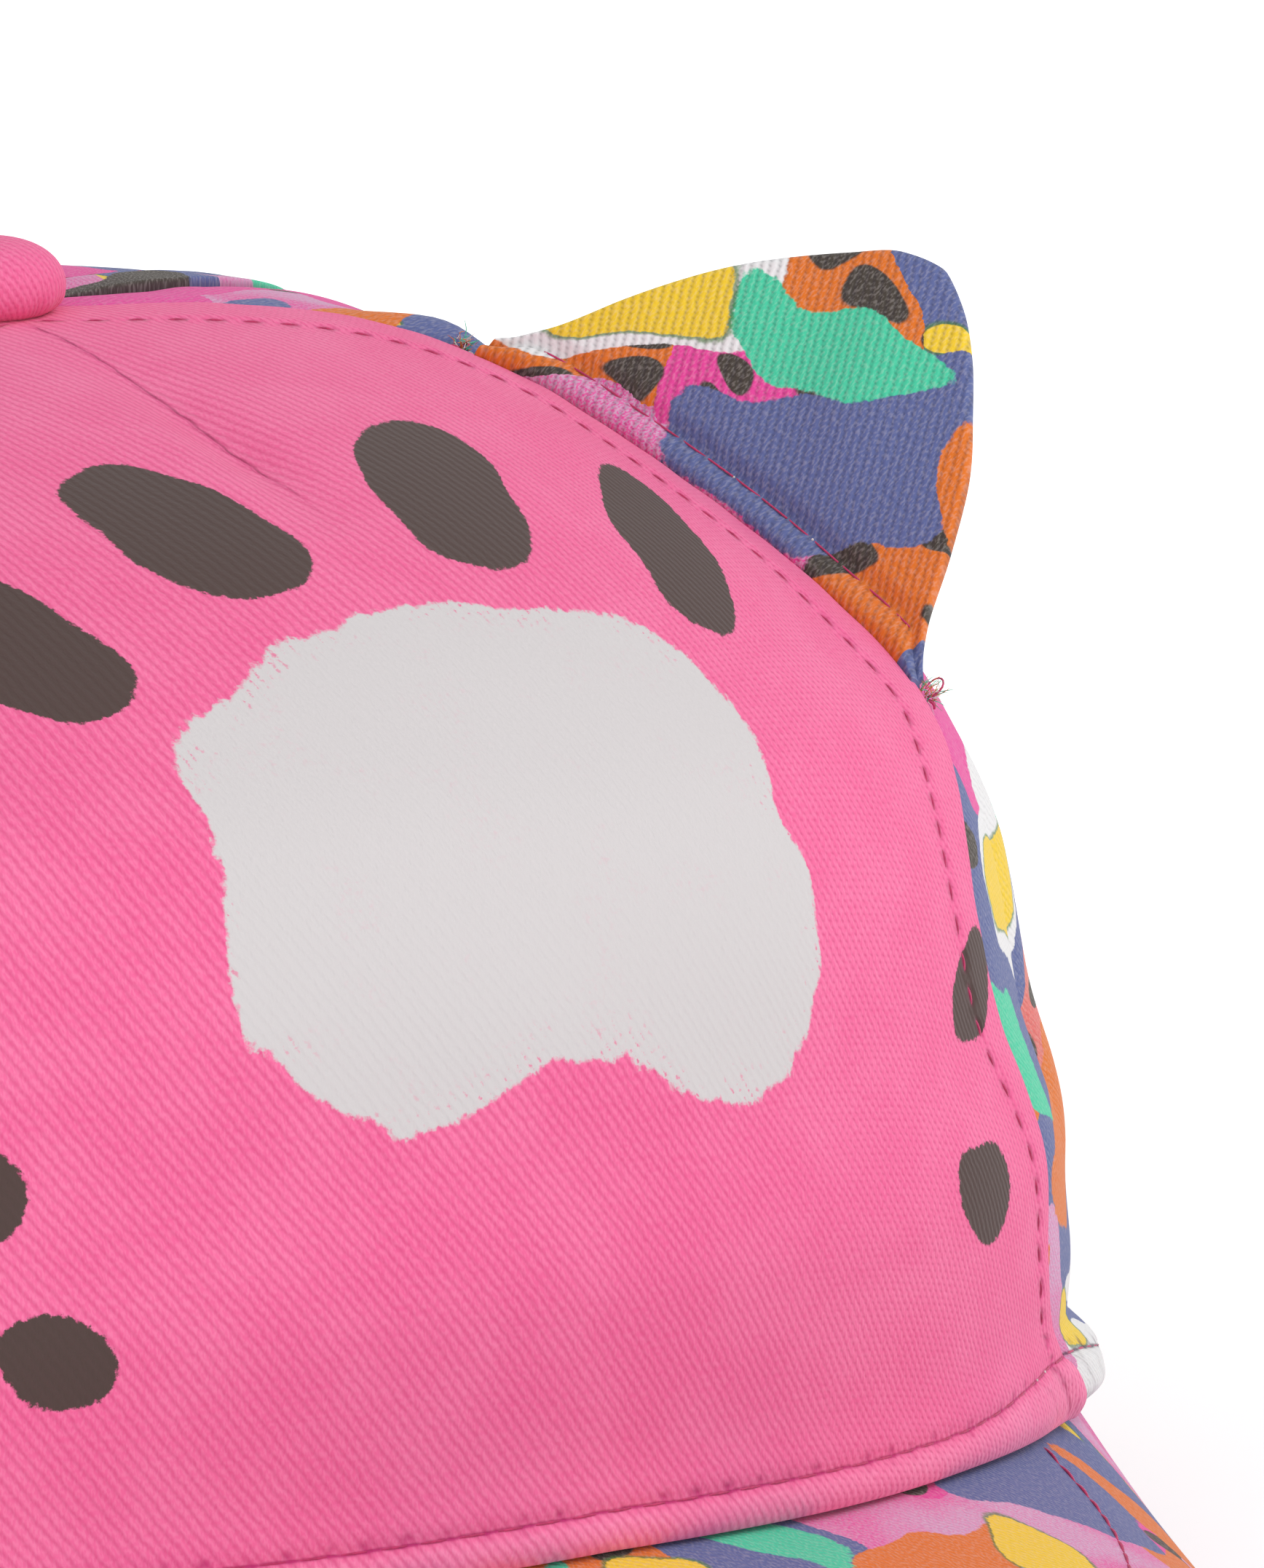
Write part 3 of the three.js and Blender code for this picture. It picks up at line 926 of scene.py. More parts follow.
@dataclass(frozen=True)
class ClothFinish:
    """A matt cotton cloth. Each kind of cloth gives its own colour and relief."""

    name: str
    weave: Weave = Weave()
    roughness: float = 0.85
    sheen: float = 0.14
    relief_depth: float = 0.048
    # How far the painted shade in the weave's gaps darkens the cloth.
    gap_depth: float = 0.55
    yarn_relief: float = 0.75
    sewn: Sewn | None = None
    # The ink of the painted shade in sewn creases.
    crease_ink: Ink = Ink.CREASE

    def colour_of(self, spot: Spot, gap: Value, yarn: Value) -> Value:
        """Works out the cloth's colour at a place on it.

        Args:
            spot: The place.
            gap: How far it is down in a gap of the weave.
            yarn: The fine fibres there, between 0 and 1.

        Returns:
            The colour.
        """
        raise NotImplementedError

    def relief_of(self, spot: Spot) -> tuple[Value, Value]:
        """Returns the weave's height and its gaps at a place on the cloth."""
        return self.weave.relief(spot)

    def build(self) -> bpy.types.Material:
        """Builds the cloth's material.

        Returns:
            The material.
        """
        made, nodes = new_material(self.name)
        layer = nodes.node("ShaderNodeUVMap", uv_map="cloth")
        parts = nodes.node("ShaderNodeSeparateXYZ", {0: layer})
        spot = Spot(nodes, nodes.value(parts, 0) * (1 / MM), nodes.value(parts, 1) * (1 / MM))
        height, gap = self.relief_of(spot)
        yarn = spot.fibres()
        relief = (height + yarn * self.yarn_relief) * self.relief_depth
        colour = self.colour_of(spot, gap, yarn)
        if self.sewn:
            creases, crease = self.sewn.relief(spot)
            relief = relief + creases
            # Painted shade: grooves, needle holes, puckers, the seam's edge and the dart's slit darken
            # toward the shade ink.
            colour = nodes.blend(crease.least(0.85), colour, self.crease_ink)
        bump = nodes.node("ShaderNodeBump", {"Strength": 1.0, "Distance": MM, "Height": relief})
        nodes.principled(
            {
                "Base Color": colour,
                "Roughness": self.roughness,
                "Normal": bump,
                "Specular IOR Level": 0.2,
                "Sheen Weight": self.sheen,
                "Sheen Roughness": 0.45,
            }
        )
        return made


@dataclass(frozen=True)
class PinkTwill(ClothFinish):
    """Pink cotton twill with painted shade in the weave's gaps, in a deeper pink."""

    print_on: bool = False
    white_rag: float = 1.7
    dark_rag: float = 0.7
    lean_from: float = 52.0
    lean_soft: float = 12.0
    lean_share: float = 0.35
    sag: float = 0.003
    # Painted light: how much paler the hem's roll is, as if lit on its top.
    roll_pale: float = 0.4

    def relief_of(self, spot: Spot) -> tuple[Value, Value]:
        """Works out the weave, whose rows sag to both sides and whose ribs stand up higher on the panel.

        Args:
            spot: The place on the cloth.

        Returns:
            The weave's height and its gaps there.
        """
        if not self.print_on:
            return self.weave.relief(spot)
        u, above = spot.u, spot.v - self.lean_from
        leaning = (above + (above * above + self.lean_soft**2).root()) * self.lean_share
        turn = math.radians(self.weave.slant)
        lean = math.cos(turn) / math.sin(turn)
        rows = u.step(6.0, 34.0) * 0.85 + 0.08
        return self.weave.relief(spot.moved(leaning * lean, u * u * self.sag), rows)

    def colour_of(self, spot: Spot, gap: Value, yarn: Value) -> Value:
        """Works out the pink with its cloudy dye, the painted shade of its gaps, painted light on the hem's
        roll and the painted marking.

        Args:
            spot: The place.
            gap: How far it is down in a gap of the weave.
            yarn: The fine fibres there.

        Returns:
            The colour.
        """
        nodes = spot.nodes
        cloudy = spot.noise(0.11, 3.0, 0.6).step(0.3, 0.75)
        pale = yarn.step(0.3, 0.7) * 0.35 + cloudy * 0.2
        if self.print_on:
            # Painted light on the hem's roll, paler as if lit on its top.
            pale = pale + (1.0 - nodes.named("hem_away").step(-0.8, -0.1)) * self.roll_pale
        colour = nodes.blend(pale, Ink.PINK, Ink.PINK_LIGHT)
        # Painted shade in the weave's gaps.
        colour = nodes.blend(gap * self.gap_depth, colour, Ink.PINK_GAP)
        return self.painted(spot, gap, colour) if self.print_on else colour

    def painted(self, spot: Spot, gap: Value, cloth: Value) -> Value:
        """Paints the off-white brushed marking and the dark spots on the cloth.

        Args:
            spot: The place on the cloth.
            gap: How far the place is down in a gap of the weave.
            cloth: The bare cloth's colour.

        Returns:
            The colour.
        """
        nodes = spot.nodes
        streak = spot.streaks(0.3, 0.5, 3.0, 0.6)
        grain = spot.noise(1.6, 3.0, 0.7)
        spot = spot.moved(*spot.wander(0.09, 4.0))
        edge = (streak - 0.5) * self.white_rag + (grain - 0.5) * 0.9
        inside = [mark.inside(spot) for mark in COAT_MARKING]
        inside = inside[0].most(inside[1]).most(inside[2]) + edge
        patchy = spot.noise(0.16, 2.0)
        worn = (grain * 0.7 + streak * 0.4 + gap * 0.2 - 0.72).step(-0.02, 0.12)
        worn = worn * (1.0 - inside.step(0.2, 3.4)) * patchy.step(0.42, 0.56)
        thin = patchy.step(0.5, 0.7) * (grain - 0.5).step(0.0, 0.3) * 0.14
        share = inside.step(-0.2, 0.2) * (1.0 - worn * 0.8) * (0.97 - thin)
        colour = nodes.blend(share, cloth, Ink.OFF_WHITE)
        smooth_edge = (grain - 0.5) * self.dark_rag
        for mark in COAT_SPOTS:
            share = (mark.inside(spot) + smooth_edge).step(-0.1, 0.1)
            colour = nodes.blend(share * 0.97, colour, mark.ink)
        return colour


@dataclass(frozen=True)
class PrintedTwill(ClothFinish):
    """Cotton twill printed with rounded patches in bright inks."""

    across: float = 0.0
    upward: float = 0.0
    warp: float = 10.0
    patch_size: float = 14.0
    dot_size: float = 5.2
    fleck: float = 0.14
    heather: float = 0.45

    @staticmethod
    def cells(spot: Spot, size: float, unevenness: float) -> tuple[Value, Value]:
        """Lays a pattern of cells over the cloth.

        Args:
            spot: The place on the cloth.
            size: The cells' size.
            unevenness: How far the cells stray from even rows, from 0 to 1.

        Returns:
            The distance from a cell's middle, in cells, and a draw for each cell.
        """
        nodes = spot.nodes
        inputs = {"Vector": nodes.vector(spot.u, spot.v), "Scale": 1 / size, "Randomness": unevenness}
        cells = nodes.node("ShaderNodeTexVoronoi", inputs, voronoi_dimensions="2D", feature="F1")
        draws = nodes.node("ShaderNodeSeparateColor", {0: cells.outputs["Color"]})
        return nodes.value(cells, "Distance"), nodes.value(draws)

    def ground(self, spot: Spot, mottled: Value, jitter: Value) -> Value:
        """Lays the patches under the larger shapes, with small ovals on some of them.

        Args:
            spot: The place on the cloth.
            mottled: The mottled pink's colour.
            jitter: How far the edges stray.

        Returns:
            The colour.
        """
        nodes, u, v = spot.nodes, spot.u, spot.v
        _, draw = self.cells(spot.moved(jitter, jitter), self.patch_size, 0.9)
        inks = (
            (0.0, Ink.BLUE),
            (0.3, Ink.MAGENTA),
            (0.46, Ink.WHITE),
            (0.56, Ink.BLUE),
            (0.72, Ink.ORANGE),
            (0.82, Ink.LILAC),
        )
        ramp = nodes.node("ShaderNodeValToRGB", {0: draw}, stops=inks)
        ramp.color_ramp.interpolation = "CONSTANT"
        colour = nodes.blend(draw.step(0.8, 0.84), nodes.value(ramp), mottled)
        skewed = Spot(nodes, u * 0.52 + v * 0.38, v * 0.94 - u * 0.5)
        away, dot = self.cells(skewed, self.dot_size, 0.55)
        oval = 0.3 - away + jitter * 0.06
        dotted = dot.step(0.36, 0.38)
        on_blue = (1.0 - draw.step(0.16, 0.17)) * dotted
        on_magenta = draw.step(0.3, 0.3001) * (1.0 - draw.step(0.459, 0.46)) * dotted
        on_orange = draw.step(0.72, 0.7201) * (1.0 - draw.step(0.819, 0.82)) * dotted
        colour = nodes.blend(oval.step(-0.09, -0.01) * on_blue * 0.8, colour, Ink.GREEN_EDGE)
        colour = nodes.blend(oval.step(-0.01, 0.02) * on_blue, colour, Ink.YELLOW)
        return nodes.blend(oval.step(-0.02, 0.02) * (on_magenta + on_orange), colour, Ink.CHARCOAL)

    def colour_of(self, spot: Spot, gap: Value, yarn: Value) -> Value:
        """Lays the inks, each over the last, on a ground of patches.

        Args:
            spot: The place.
            gap: How far it is down in a gap of the weave.
            yarn: The fine fibres there.

        Returns:
            The colour.
        """
        nodes = spot.nodes
        shift_u, shift_v = Spot(nodes, spot.u + self.across, spot.v + self.upward).wander(0.075, self.warp)
        jitter = (spot.noise(1.3, 2.0, 0.7) - 0.5) * 0.5
        place = Spot(nodes, spot.u + shift_u + self.across, spot.v + shift_v + self.upward)
        heather = spot.noise(4.8, 1.0).step(0.36, 0.66)
        drift = spot.noise(0.12, 1.0).step(0.35, 0.7) * 0.55
        deep = (heather * self.heather + drift).least(1.0)
        mottled = nodes.blend(deep, Ink.LILAC, Ink.MAGENTA)
        colour = self.ground(place, mottled, jitter)
        for mark in PEBBLES:
            inside = mark.inside(place, REPEAT) + jitter
            ink = mottled if mark.ink is Ink.LILAC else mark.ink
            if mark.ink is Ink.YELLOW:
                colour = nodes.blend(inside.step(-0.5, -0.1) * 0.8, colour, Ink.GREEN_EDGE)
            colour = nodes.blend(inside.step(-0.08, 0.1), colour, ink)
        colour = nodes.blend(yarn.step(0.4, 0.75) * self.fleck, colour, Ink.RAW)
        # Painted shade in the weave's gaps.
        return nodes.blend(gap * self.gap_depth, colour, Ink.GAP)


@dataclass(frozen=True)
class PlainCloth(ClothFinish):
    """A cloth of one dye, for the reverse of the panels and the tape inside."""

    light: Ink = Ink.RAW
    deep: Ink = Ink.LILAC

    def colour_of(self, spot: Spot, gap: Value, yarn: Value) -> Value:
        """Returns the dye with its yarns and the painted shade of its gaps."""
        colour = spot.nodes.blend(yarn.step(0.3, 0.7) * 0.3, self.light, self.deep)
        # Painted shade in the weave's gaps.
        return spot.nodes.blend(gap * 0.5, colour, self.deep)


@dataclass(frozen=True)
class ThreadFinish:
    """Twisted cotton thread."""

    name: str
    ink: Ink

    def build(self) -> bpy.types.Material:
        """Builds the thread's material.

        Returns:
            The material.
        """
        made, nodes = new_material(self.name)
        place = nodes.node("ShaderNodeTexCoord").outputs["Object"]
        fine = nodes.node("ShaderNodeTexNoise", {"Vector": place, "Scale": 2600.0, "Detail": 2.0})
        grain = nodes.value(fine)
        deep = tuple(share * 0.7 for share in self.ink.value[:3]) + (1.0,)
        colour = nodes.blend(grain.step(0.3, 0.75), deep, self.ink)
        bump = nodes.node("ShaderNodeBump", {"Strength": 0.6, "Distance": 0.05 * MM, "Height": grain})
        nodes.principled({"Base Color": colour, "Roughness": 0.6, "Normal": bump, "Sheen Weight": 0.2})
        return made


class Finishes:
    """All of the cap's materials."""

    def __init__(self) -> None:
        """Builds each material once."""
        plain = {"relief_depth": 0.035, "gap_depth": 0.16}
        strong = {"relief_depth": 0.06, "gap_depth": 0.46, "fleck": 0.13, "heather": 0.75}
        print_sewing = Sewn(puckers=((1.8, 0.14), (4.6, 0.1)))
        panels = PrintedTwill(
            "printed_twill", Weave(0.6, -55.0), sewn=print_sewing, crease_ink=Ink.SHADE, **plain
        )
        ears = PrintedTwill(
            "printed_twill_ear", Weave(0.69, -61.0, row=0.4), across=31.0, upward=38.0, **strong
        )
        peak = PrintedTwill("printed_twill_brim", Weave(0.55, -40.0), across=12.0, **plain)
        band = PlainCloth("pink_tape", Weave(0.9, 90.0, 0.8), light=Ink.PINK_LIGHT, deep=Ink.PINK_GAP)
        self.front = PinkTwill("pink_twill_painted", print_on=True, sewn=Sewn(dart=True)).build()
        self.pink = PinkTwill("pink_twill", Weave(0.66, -60.0)).build()
        self.printed = panels.build()
        self.printed_ear = ears.build()
        self.printed_brim = peak.build()
        self.reverse = PlainCloth("printed_reverse").build()
        self.pink_reverse = PlainCloth("pink_reverse", light=Ink.PINK_LIGHT, deep=Ink.PINK).build()
        self.tape = band.build()
        self.thread = ThreadFinish("magenta_thread", Ink.THREAD).build()
        self.raw = ThreadFinish("raw_cotton", Ink.RAW).build()
        self.mint = ThreadFinish("mint_fluff", Ink.MINT).build()
        self.rust = ThreadFinish("rust_fluff", Ink.ORANGE).build()


@dataclass
class StitchLine:
    """Places along a sewn line, each with the way the thread runs and the cloth's normal."""

    places: Array
    along: Array
    up: Array

    @staticmethod
    def spaced(points: Array, normals: Array, phases: Array) -> StitchLine:
        """Sets a stitch wherever a line's phase is a whole number.

        Args:
            points: The line's points, in millimetres.
            normals: The cloth's normals there.
            phases: The distance along the line there, in stitches.

        Returns:
            The stitches' places and ways.
        """
        order = np.argsort(phases)
        points, normals, phases = points[order], normals[order], phases[order]
        at = np.arange(math.ceil(phases[0] + 0.4), math.floor(phases[-1] - 0.4) + 1)

        def along_line(values: Array, where: Array) -> Array:
            """Returns values at phases along the line."""
            return np.stack([np.interp(where, phases, values[:, k]) for k in range(3)], -1)

        ahead = along_line(points, at + 0.25) - along_line(points, at - 0.25)
        return StitchLine(along_line(points, at), unit(ahead), unit(along_line(normals, at)))

    @staticmethod
    def crossing(
        distance: Array,
        face: Array,
        ways: Array,
        pitch: float,
        phases: Array | None = None,
        spare: float = 1.2,
        run_on: float = 0.0,
    ) -> StitchLine:
        """Sews along the line on a face where a distance that climbs along its rows passes 0.

        Args:
            distance: The distance at each point of the face.
            face: The face's points, rows by columns.
            ways: The normals there.
            pitch: The stitches' spacing, where no phases are given.
            phases: The distance along the line, in stitches, at each point.
            spare: How far the distance has to climb for a row to be sewn.
            run_on: How far the line runs on straight past both its ends, in millimetres.

        Returns:
            The stitches.
        """
        found, normals, at = [], [], []
        for k, row in enumerate(distance):
            if row[0] < 0 and row.max() > spare:
                after = int(np.argmax(row > 0))
                share = row[after - 1] / (row[after - 1] - row[after])
                found.append(face[k, after - 1] * (1 - share) + face[k, after] * share)
                normals.append(ways[k, after])
                at.append(0.0 if phases is None else phases[k, after])
        points = np.array(found)
        if run_on:
            before = points[0] + unit(points[0] - points[1]) * run_on
            beyond = points[-1] + unit(points[-1] - points[-2]) * run_on
            points = np.concatenate([[before], points, [beyond]])
            normals = [normals[0], *normals, normals[-1]]
        reached = running_length(points) / pitch if phases is None else np.array(at)
        return StitchLine.spaced(points, np.array(normals), reached)

    @staticmethod
    def joined(lines: Sequence[StitchLine]) -> StitchLine:
        """Returns several lines as one."""
        names = [part.name for part in fields(StitchLine)]
        return StitchLine(*(np.concatenate([getattr(line, name) for line in lines]) for name in names))


@dataclass
class Sewing:
    """Sews lines of stitches: Geometry Nodes lay one bent thread at each place."""

    place: Placing
    finishes: Finishes
    tree: bpy.types.NodeTree = field(init=False)

    def __post_init__(self) -> None:
        """Builds the node tree that every line of stitches uses."""
        self.tree = bpy.data.node_groups.new("stitches", "GeometryNodeTree")
        nodes = Nodes(self.tree)
        floats = ("Stitch Length", "Thread Radius", "Rise", "Sink", "Speck Share", "Speck Radius")
        sockets = {"Geometry": "Geometry", **dict.fromkeys(floats, "Float")}
        sockets.update({"Seed": "Int", "Thread": "Material", "Speck": "Material"})
        for name, kind in sockets.items():
            self.tree.interface.new_socket(name, in_out="INPUT", socket_type=f"NodeSocket{kind}")
        self.tree.interface.new_socket("Geometry", in_out="OUTPUT", socket_type="NodeSocketGeometry")
        given = nodes.node("NodeGroupInput")
        half = nodes.value(given, "Stitch Length") * 0.5
        rise, sink = nodes.value(given, "Rise"), nodes.value(given, "Sink")
        curve = {
            "Resolution": 6,
            "Start": nodes.vector(-half, 0.0, -sink),
            "Middle": nodes.vector(0.0, 0.0, rise * 2.0 + sink),
            "End": nodes.vector(half, 0.0, -sink),
        }
        bow = nodes.node("GeometryNodeCurveQuadraticBezier", curve)
        circle = {"Resolution": 6, "Radius": given.outputs["Thread Radius"]}
        ring = nodes.node("GeometryNodeCurvePrimitiveCircle", circle)
        tube = {"Curve": bow, "Profile Curve": ring, "Fill Caps": True}
        stitch = nodes.node("GeometryNodeCurveToMesh", tube)
        along = self.attribute(nodes, "along")
        upward = {"Vector": self.attribute(nodes, "up")}
        upright = nodes.node("FunctionNodeAlignRotationToVector", upward, axis="Z")
        lengthwise = {"Rotation": upright, "Vector": along}
        turned = nodes.node("FunctionNodeAlignRotationToVector", lengthwise, axis="X", pivot_axis="Z")
        stitches = {"Points": given, "Instance": stitch, "Rotation": turned}
        laid = nodes.node("GeometryNodeInstanceOnPoints", stitches)
        reach = nodes.node("ShaderNodeVectorMath", {0: along, "Scale": half}, operation="SCALE")
        holes = nodes.node("GeometryNodeSetPosition", {"Geometry": given, "Offset": reach})
        odds = {"Probability": given.outputs["Speck Share"], "Seed": given.outputs["Seed"]}
        chance = nodes.node("FunctionNodeRandomValue", odds, data_type="BOOLEAN")
        sphere = {"Radius": given.outputs["Speck Radius"], "Subdivisions": 1}
        ball = nodes.node("GeometryNodeMeshIcoSphere", sphere)
        crumbs = {"Points": holes, "Selection": chance.outputs[3], "Instance": ball}
        specks = nodes.node("GeometryNodeInstanceOnPoints", crumbs)
        both = nodes.node("GeometryNodeJoinGeometry")
        for instances, cover in ((laid, "Thread"), (specks, "Speck")):
            real = nodes.node("GeometryNodeRealizeInstances", {0: instances})
            dressed = {"Geometry": real, "Material": given.outputs[cover]}
            nodes.feed(both.inputs[0], nodes.node("GeometryNodeSetMaterial", dressed))
        nodes.node("NodeGroupOutput", {0: both})

    @staticmethod
    def attribute(nodes: Nodes, name: str) -> bpy.types.NodeSocket:
        """Returns a named vector of the points."""
        node = nodes.node("GeometryNodeInputNamedAttribute", {"Name": name}, data_type="FLOAT_VECTOR")
        return node.outputs[0]

    def sew(
        self,
        name: str,
        lines: Sequence[StitchLine],
        length: float,
        radius: float = 0.14,
        rise: float = 0.1,
        sink: float = 0.2,
        specks: float = 0.0,
        seed: int = 1,
        slot: str = "printed_twill",
    ) -> None:
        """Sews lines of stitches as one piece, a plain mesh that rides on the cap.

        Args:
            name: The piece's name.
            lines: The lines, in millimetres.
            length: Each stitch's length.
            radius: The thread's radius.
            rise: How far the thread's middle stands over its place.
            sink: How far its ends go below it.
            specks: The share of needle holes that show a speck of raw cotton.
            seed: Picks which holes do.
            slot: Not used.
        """
        line = StitchLine.joined(lines)
        mesh = bpy.data.meshes.new(name)
        mesh.from_pydata(self.place(line.places).tolist(), [], [])
        for label, vectors in (("along", line.along), ("up", line.up)):
            held = mesh.attributes.new(label, "FLOAT_VECTOR", "POINT")
            held.data.foreach_set("vector", vectors.astype(np.float32).ravel())
        piece = new_object(name, mesh)
        modifier = piece.modifiers.new("stitches", "NODES")
        modifier.node_group = self.tree
        sizes = {
            "Stitch Length": length * MM,
            "Thread Radius": radius * MM,
            "Rise": rise * MM,
            "Sink": sink * MM,
            "Speck Share": specks,
            "Speck Radius": 0.12 * MM,
            "Seed": seed,
            "Thread": self.finishes.thread,
            "Speck": self.finishes.raw,
        }
        for item in self.tree.interface.items_tree:
            if item.in_out == "INPUT" and item.name in sizes:
                modifier[item.identifier] = sizes[item.name]
        seen = piece.evaluated_get(bpy.context.evaluated_depsgraph_get())
        plain = bpy.data.meshes.new_from_object(seen)
        piece.modifiers.remove(modifier)
        piece.data = plain
        bpy.data.meshes.remove(mesh)
        plain.name = name
        plain.shade_smooth()
        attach(piece, "root")
        log.info("%s: %d stitches, %d faces", name, len(line.places), len(plain.polygons))


class SeamEdge(Enum):
    """How a panel's edge is finished at its seam."""

    TOPSTITCHED = "its allowance lies under it, held by a line of stitches"
    TUCKED = "it dips under its neighbour's edge"


@dataclass
class PanelShape:
    """A panel's outer face before it is closed, with what its sewing needs."""

    face: Array
    normals: Array
    over_rim: Array
    hem_away: Array
    from_left: Array
    from_right: Array
    phases: Array
    cloth: Array

    def flipped(self) -> PanelShape:
        """Returns the face with its columns the other way round."""
        turned = {part.name: getattr(self, part.name)[:, ::-1] for part in fields(self)}
        turned["from_left"], turned["from_right"] = turned["from_right"], turned["from_left"]
        return PanelShape(**turned)


@dataclass
class ClothPanel:
    """One cloth panel of the crown between two seams."""

    name: str
    form: CapForm
    left_seam: Callable[[Array], Array]
    right_seam: Callable[[Array], Array]
    edge: SeamEdge
    middle_columns: int
    seed: int
    dart: bool = False
    fold: float = 0.0
    depth: float = 1.25
    seam_gap: float = 0.1
    stitch_pitch: float = 2.72
    hem_pitch: float = 2.9
    lowest: float = 0.05
    edge_steps: tuple[float, ...] = (
        *(0, 0.08, 0.18, 0.3, 0.45, 0.62, 0.8, 1.0, 1.3, 1.7, 2.2, 2.7, 3.2),
        *(3.8, 4.4, 5.0, 5.5, 6.0, 6.5, 7.0, 7.7, 8.6),
    )

    def lifts(self) -> Array:
        """Sets the rows, close together at the hem.

        Returns:
            Their lifts.
        """
        fine = np.linspace(0, self.form.tip_lift, 600)
        middle = (self.left_seam(fine) + self.right_seam(fine)) / 2
        travelled = running_length(self.form.plain(middle, fine))
        hem = np.arange(0, 6.4, 0.27)
        above = np.arange(6.5, travelled[-1], 0.8)
        rows = np.concatenate([hem, above, travelled[-1:]])
        return np.interp(rows, travelled, fine)

    def angles(self, lifts: Array) -> Array:
        """Sets each row's corners from seam to seam, close together at both seams.

        Args:
            lifts: The rows' lifts.

        Returns:
            The corners' angles, rows by columns.
        """
        left, right = self.left_seam(lifts), self.right_seam(lifts)
        shares = np.linspace(0, 1, 41)
        coarse = self.form.face(left[:, None] + (right - left)[:, None] * shares, lifts[:, None])
        travelled = running_length(coarse, 1)
        width = travelled[:, -1]
        edge = np.array(self.edge_steps)
        zone = np.minimum(edge[-1], 0.3 * width)
        near = edge / edge[-1] * zone[:, None]
        near[:, 0] = np.minimum(self.seam_gap / 2, near[:, 1] / 2)
        inner = np.linspace(0, 1, self.middle_columns + 2)[1:-1]
        middle = zone[:, None] + (width - 2 * zone)[:, None] * inner
        along = np.concatenate([near, middle, (width[:, None] - near)[:, ::-1]], 1)
        share = np.stack([np.interp(along[k], travelled[k], shares) for k in range(len(lifts))])
        return left[:, None] + (right - left)[:, None] * share

    @staticmethod
    def seam_distances(face: Array) -> tuple[Array, Array, Array]:
        """Measures each point's distance square to the face's first column.

        Args:
            face: The face's points, rows by columns.

        Returns:
            The distances, the rows' distance along the first column, and the distances along each row.
        """
        along_row = running_length(face, 1)
        seam = unit(np.gradient(face[:, 0], axis=0))
        row = unit(face[:, min(6, face.shape[1] - 1)] - face[:, 0])
        square = np.linalg.norm(np.cross(seam, row), axis=-1)
        return along_row * square[:, None], running_length(face[:, 0]), along_row

    def edge_relief(self, away: Array, over: Array, along: Array, seed: int) -> Array:
        """Works out how far a seam's finish lifts or sinks the cloth.

        Args:
            away: The distance from the seam.
            over: The height over the rim.
            along: The distance along the seam.
            seed: Picks its waves.

        Returns:
            The relief in millimetres.
        """
        wander = ripple(along, 9.0, seed)[:, None]
        if self.edge is SeamEdge.TUCKED:
            turned = 1 - np.sqrt(np.clip(1 - (1 - np.minimum(away / 0.9, 1)) ** 2, 0, 1))
            return -1.0 * turned - 0.3 * bell(away, 2.2) + 0.12 * wander * bell(away - 2, 2)
        turned = 1 - np.sqrt(np.clip(1 - (1 - np.minimum(away / 0.5, 1)) ** 2, 0, 1))
        beyond = away - self.form.topstitch_inset(over)
        padded = 0.34 * (1 - smoothstep(beyond, -0.6, 1.0))
        groove = 0.12 * bell(beyond, 0.6)
        return -0.9 * turned + padded - groove + 0.1 * wander * bell(away - 2.5, 2.5)

    def hem_relief(self, over: Array, line: Array, around: Array) -> Array:
        """Works out how far the rolled hem lifts or sinks the cloth.

        Args:
            over: The height over the rim.
            line: The height of the hem's stitches there.
            around: The distance round the panel from its middle.

        Returns:
            The relief in millimetres.
        """
        pucker = 0.5 + 0.5 * np.cos(FULL_TURN * around / self.hem_pitch)
        share = np.clip(over / line, 0, 1)
        uneven = 1 + 0.22 * ripple(around, 15.0, self.seed + 7)
        roll = 0.42 * np.sin(math.pi * share**0.8) * uneven
        groove = 0.12 * bell(over - line, 0.4)
        above = 0.09 * bell(over - line - 1.3, 0.9) * (0.6 + 0.4 * pucker)
        return roll - groove + above

    def softness(self, angles: Array, lifts: Array) -> Array:
        """Works out the cloth's slack: wide, shallow dents.

        Args:
            angles: The corners' angles.
            lifts: The rows' lifts.

        Returns:
            The relief in millimetres.
        """
        swing = ripple(angles + 0.35 * lifts[:, None], 27.0, self.seed)
        swing = swing * ripple(lifts[:, None] - 0.2 * angles, 31.0, self.seed + 1)
        zone = smoothstep(lifts, 8, 20) * (1 - smoothstep(lifts, 70, 86))
        return (0.35 if self.dart else 0.8) * swing * zone[:, None]

    def fold_relief(self, angles: Array, lifts: Array) -> Array:
        """Works out the side panels' soft upright fold behind the front seam and puff behind the ear.

        Args:
            angles: The corners' angles.
            lifts: The rows' lifts.

        Returns:
            The relief in millimetres.
        """
        away = (np.abs(angles) - 51.5 - 0.03 * (lifts[:, None] - 24)) * 1.4
        zone = smoothstep(lifts, 12, 20) * (1 - smoothstep(lifts, 32, 42))
        fold = (-0.75 * bell(away, 1.3) + 0.75 * bell(away - 5.5, 4.5)) * zone[:, None]
        corner = 0.6 * bell(lifts - 8, 3.4)[:, None] * bell(np.abs(angles) - 55, 14)
        past_seam = (np.abs(angles) - self.form.front_seam(lifts)[:, None]) * 0.6
        puff = 1.5 * bell(lifts - 73.4, 3.4)[:, None] * bell(past_seam - 3.2, 3.0)
        return self.fold * (fold + corner + puff)

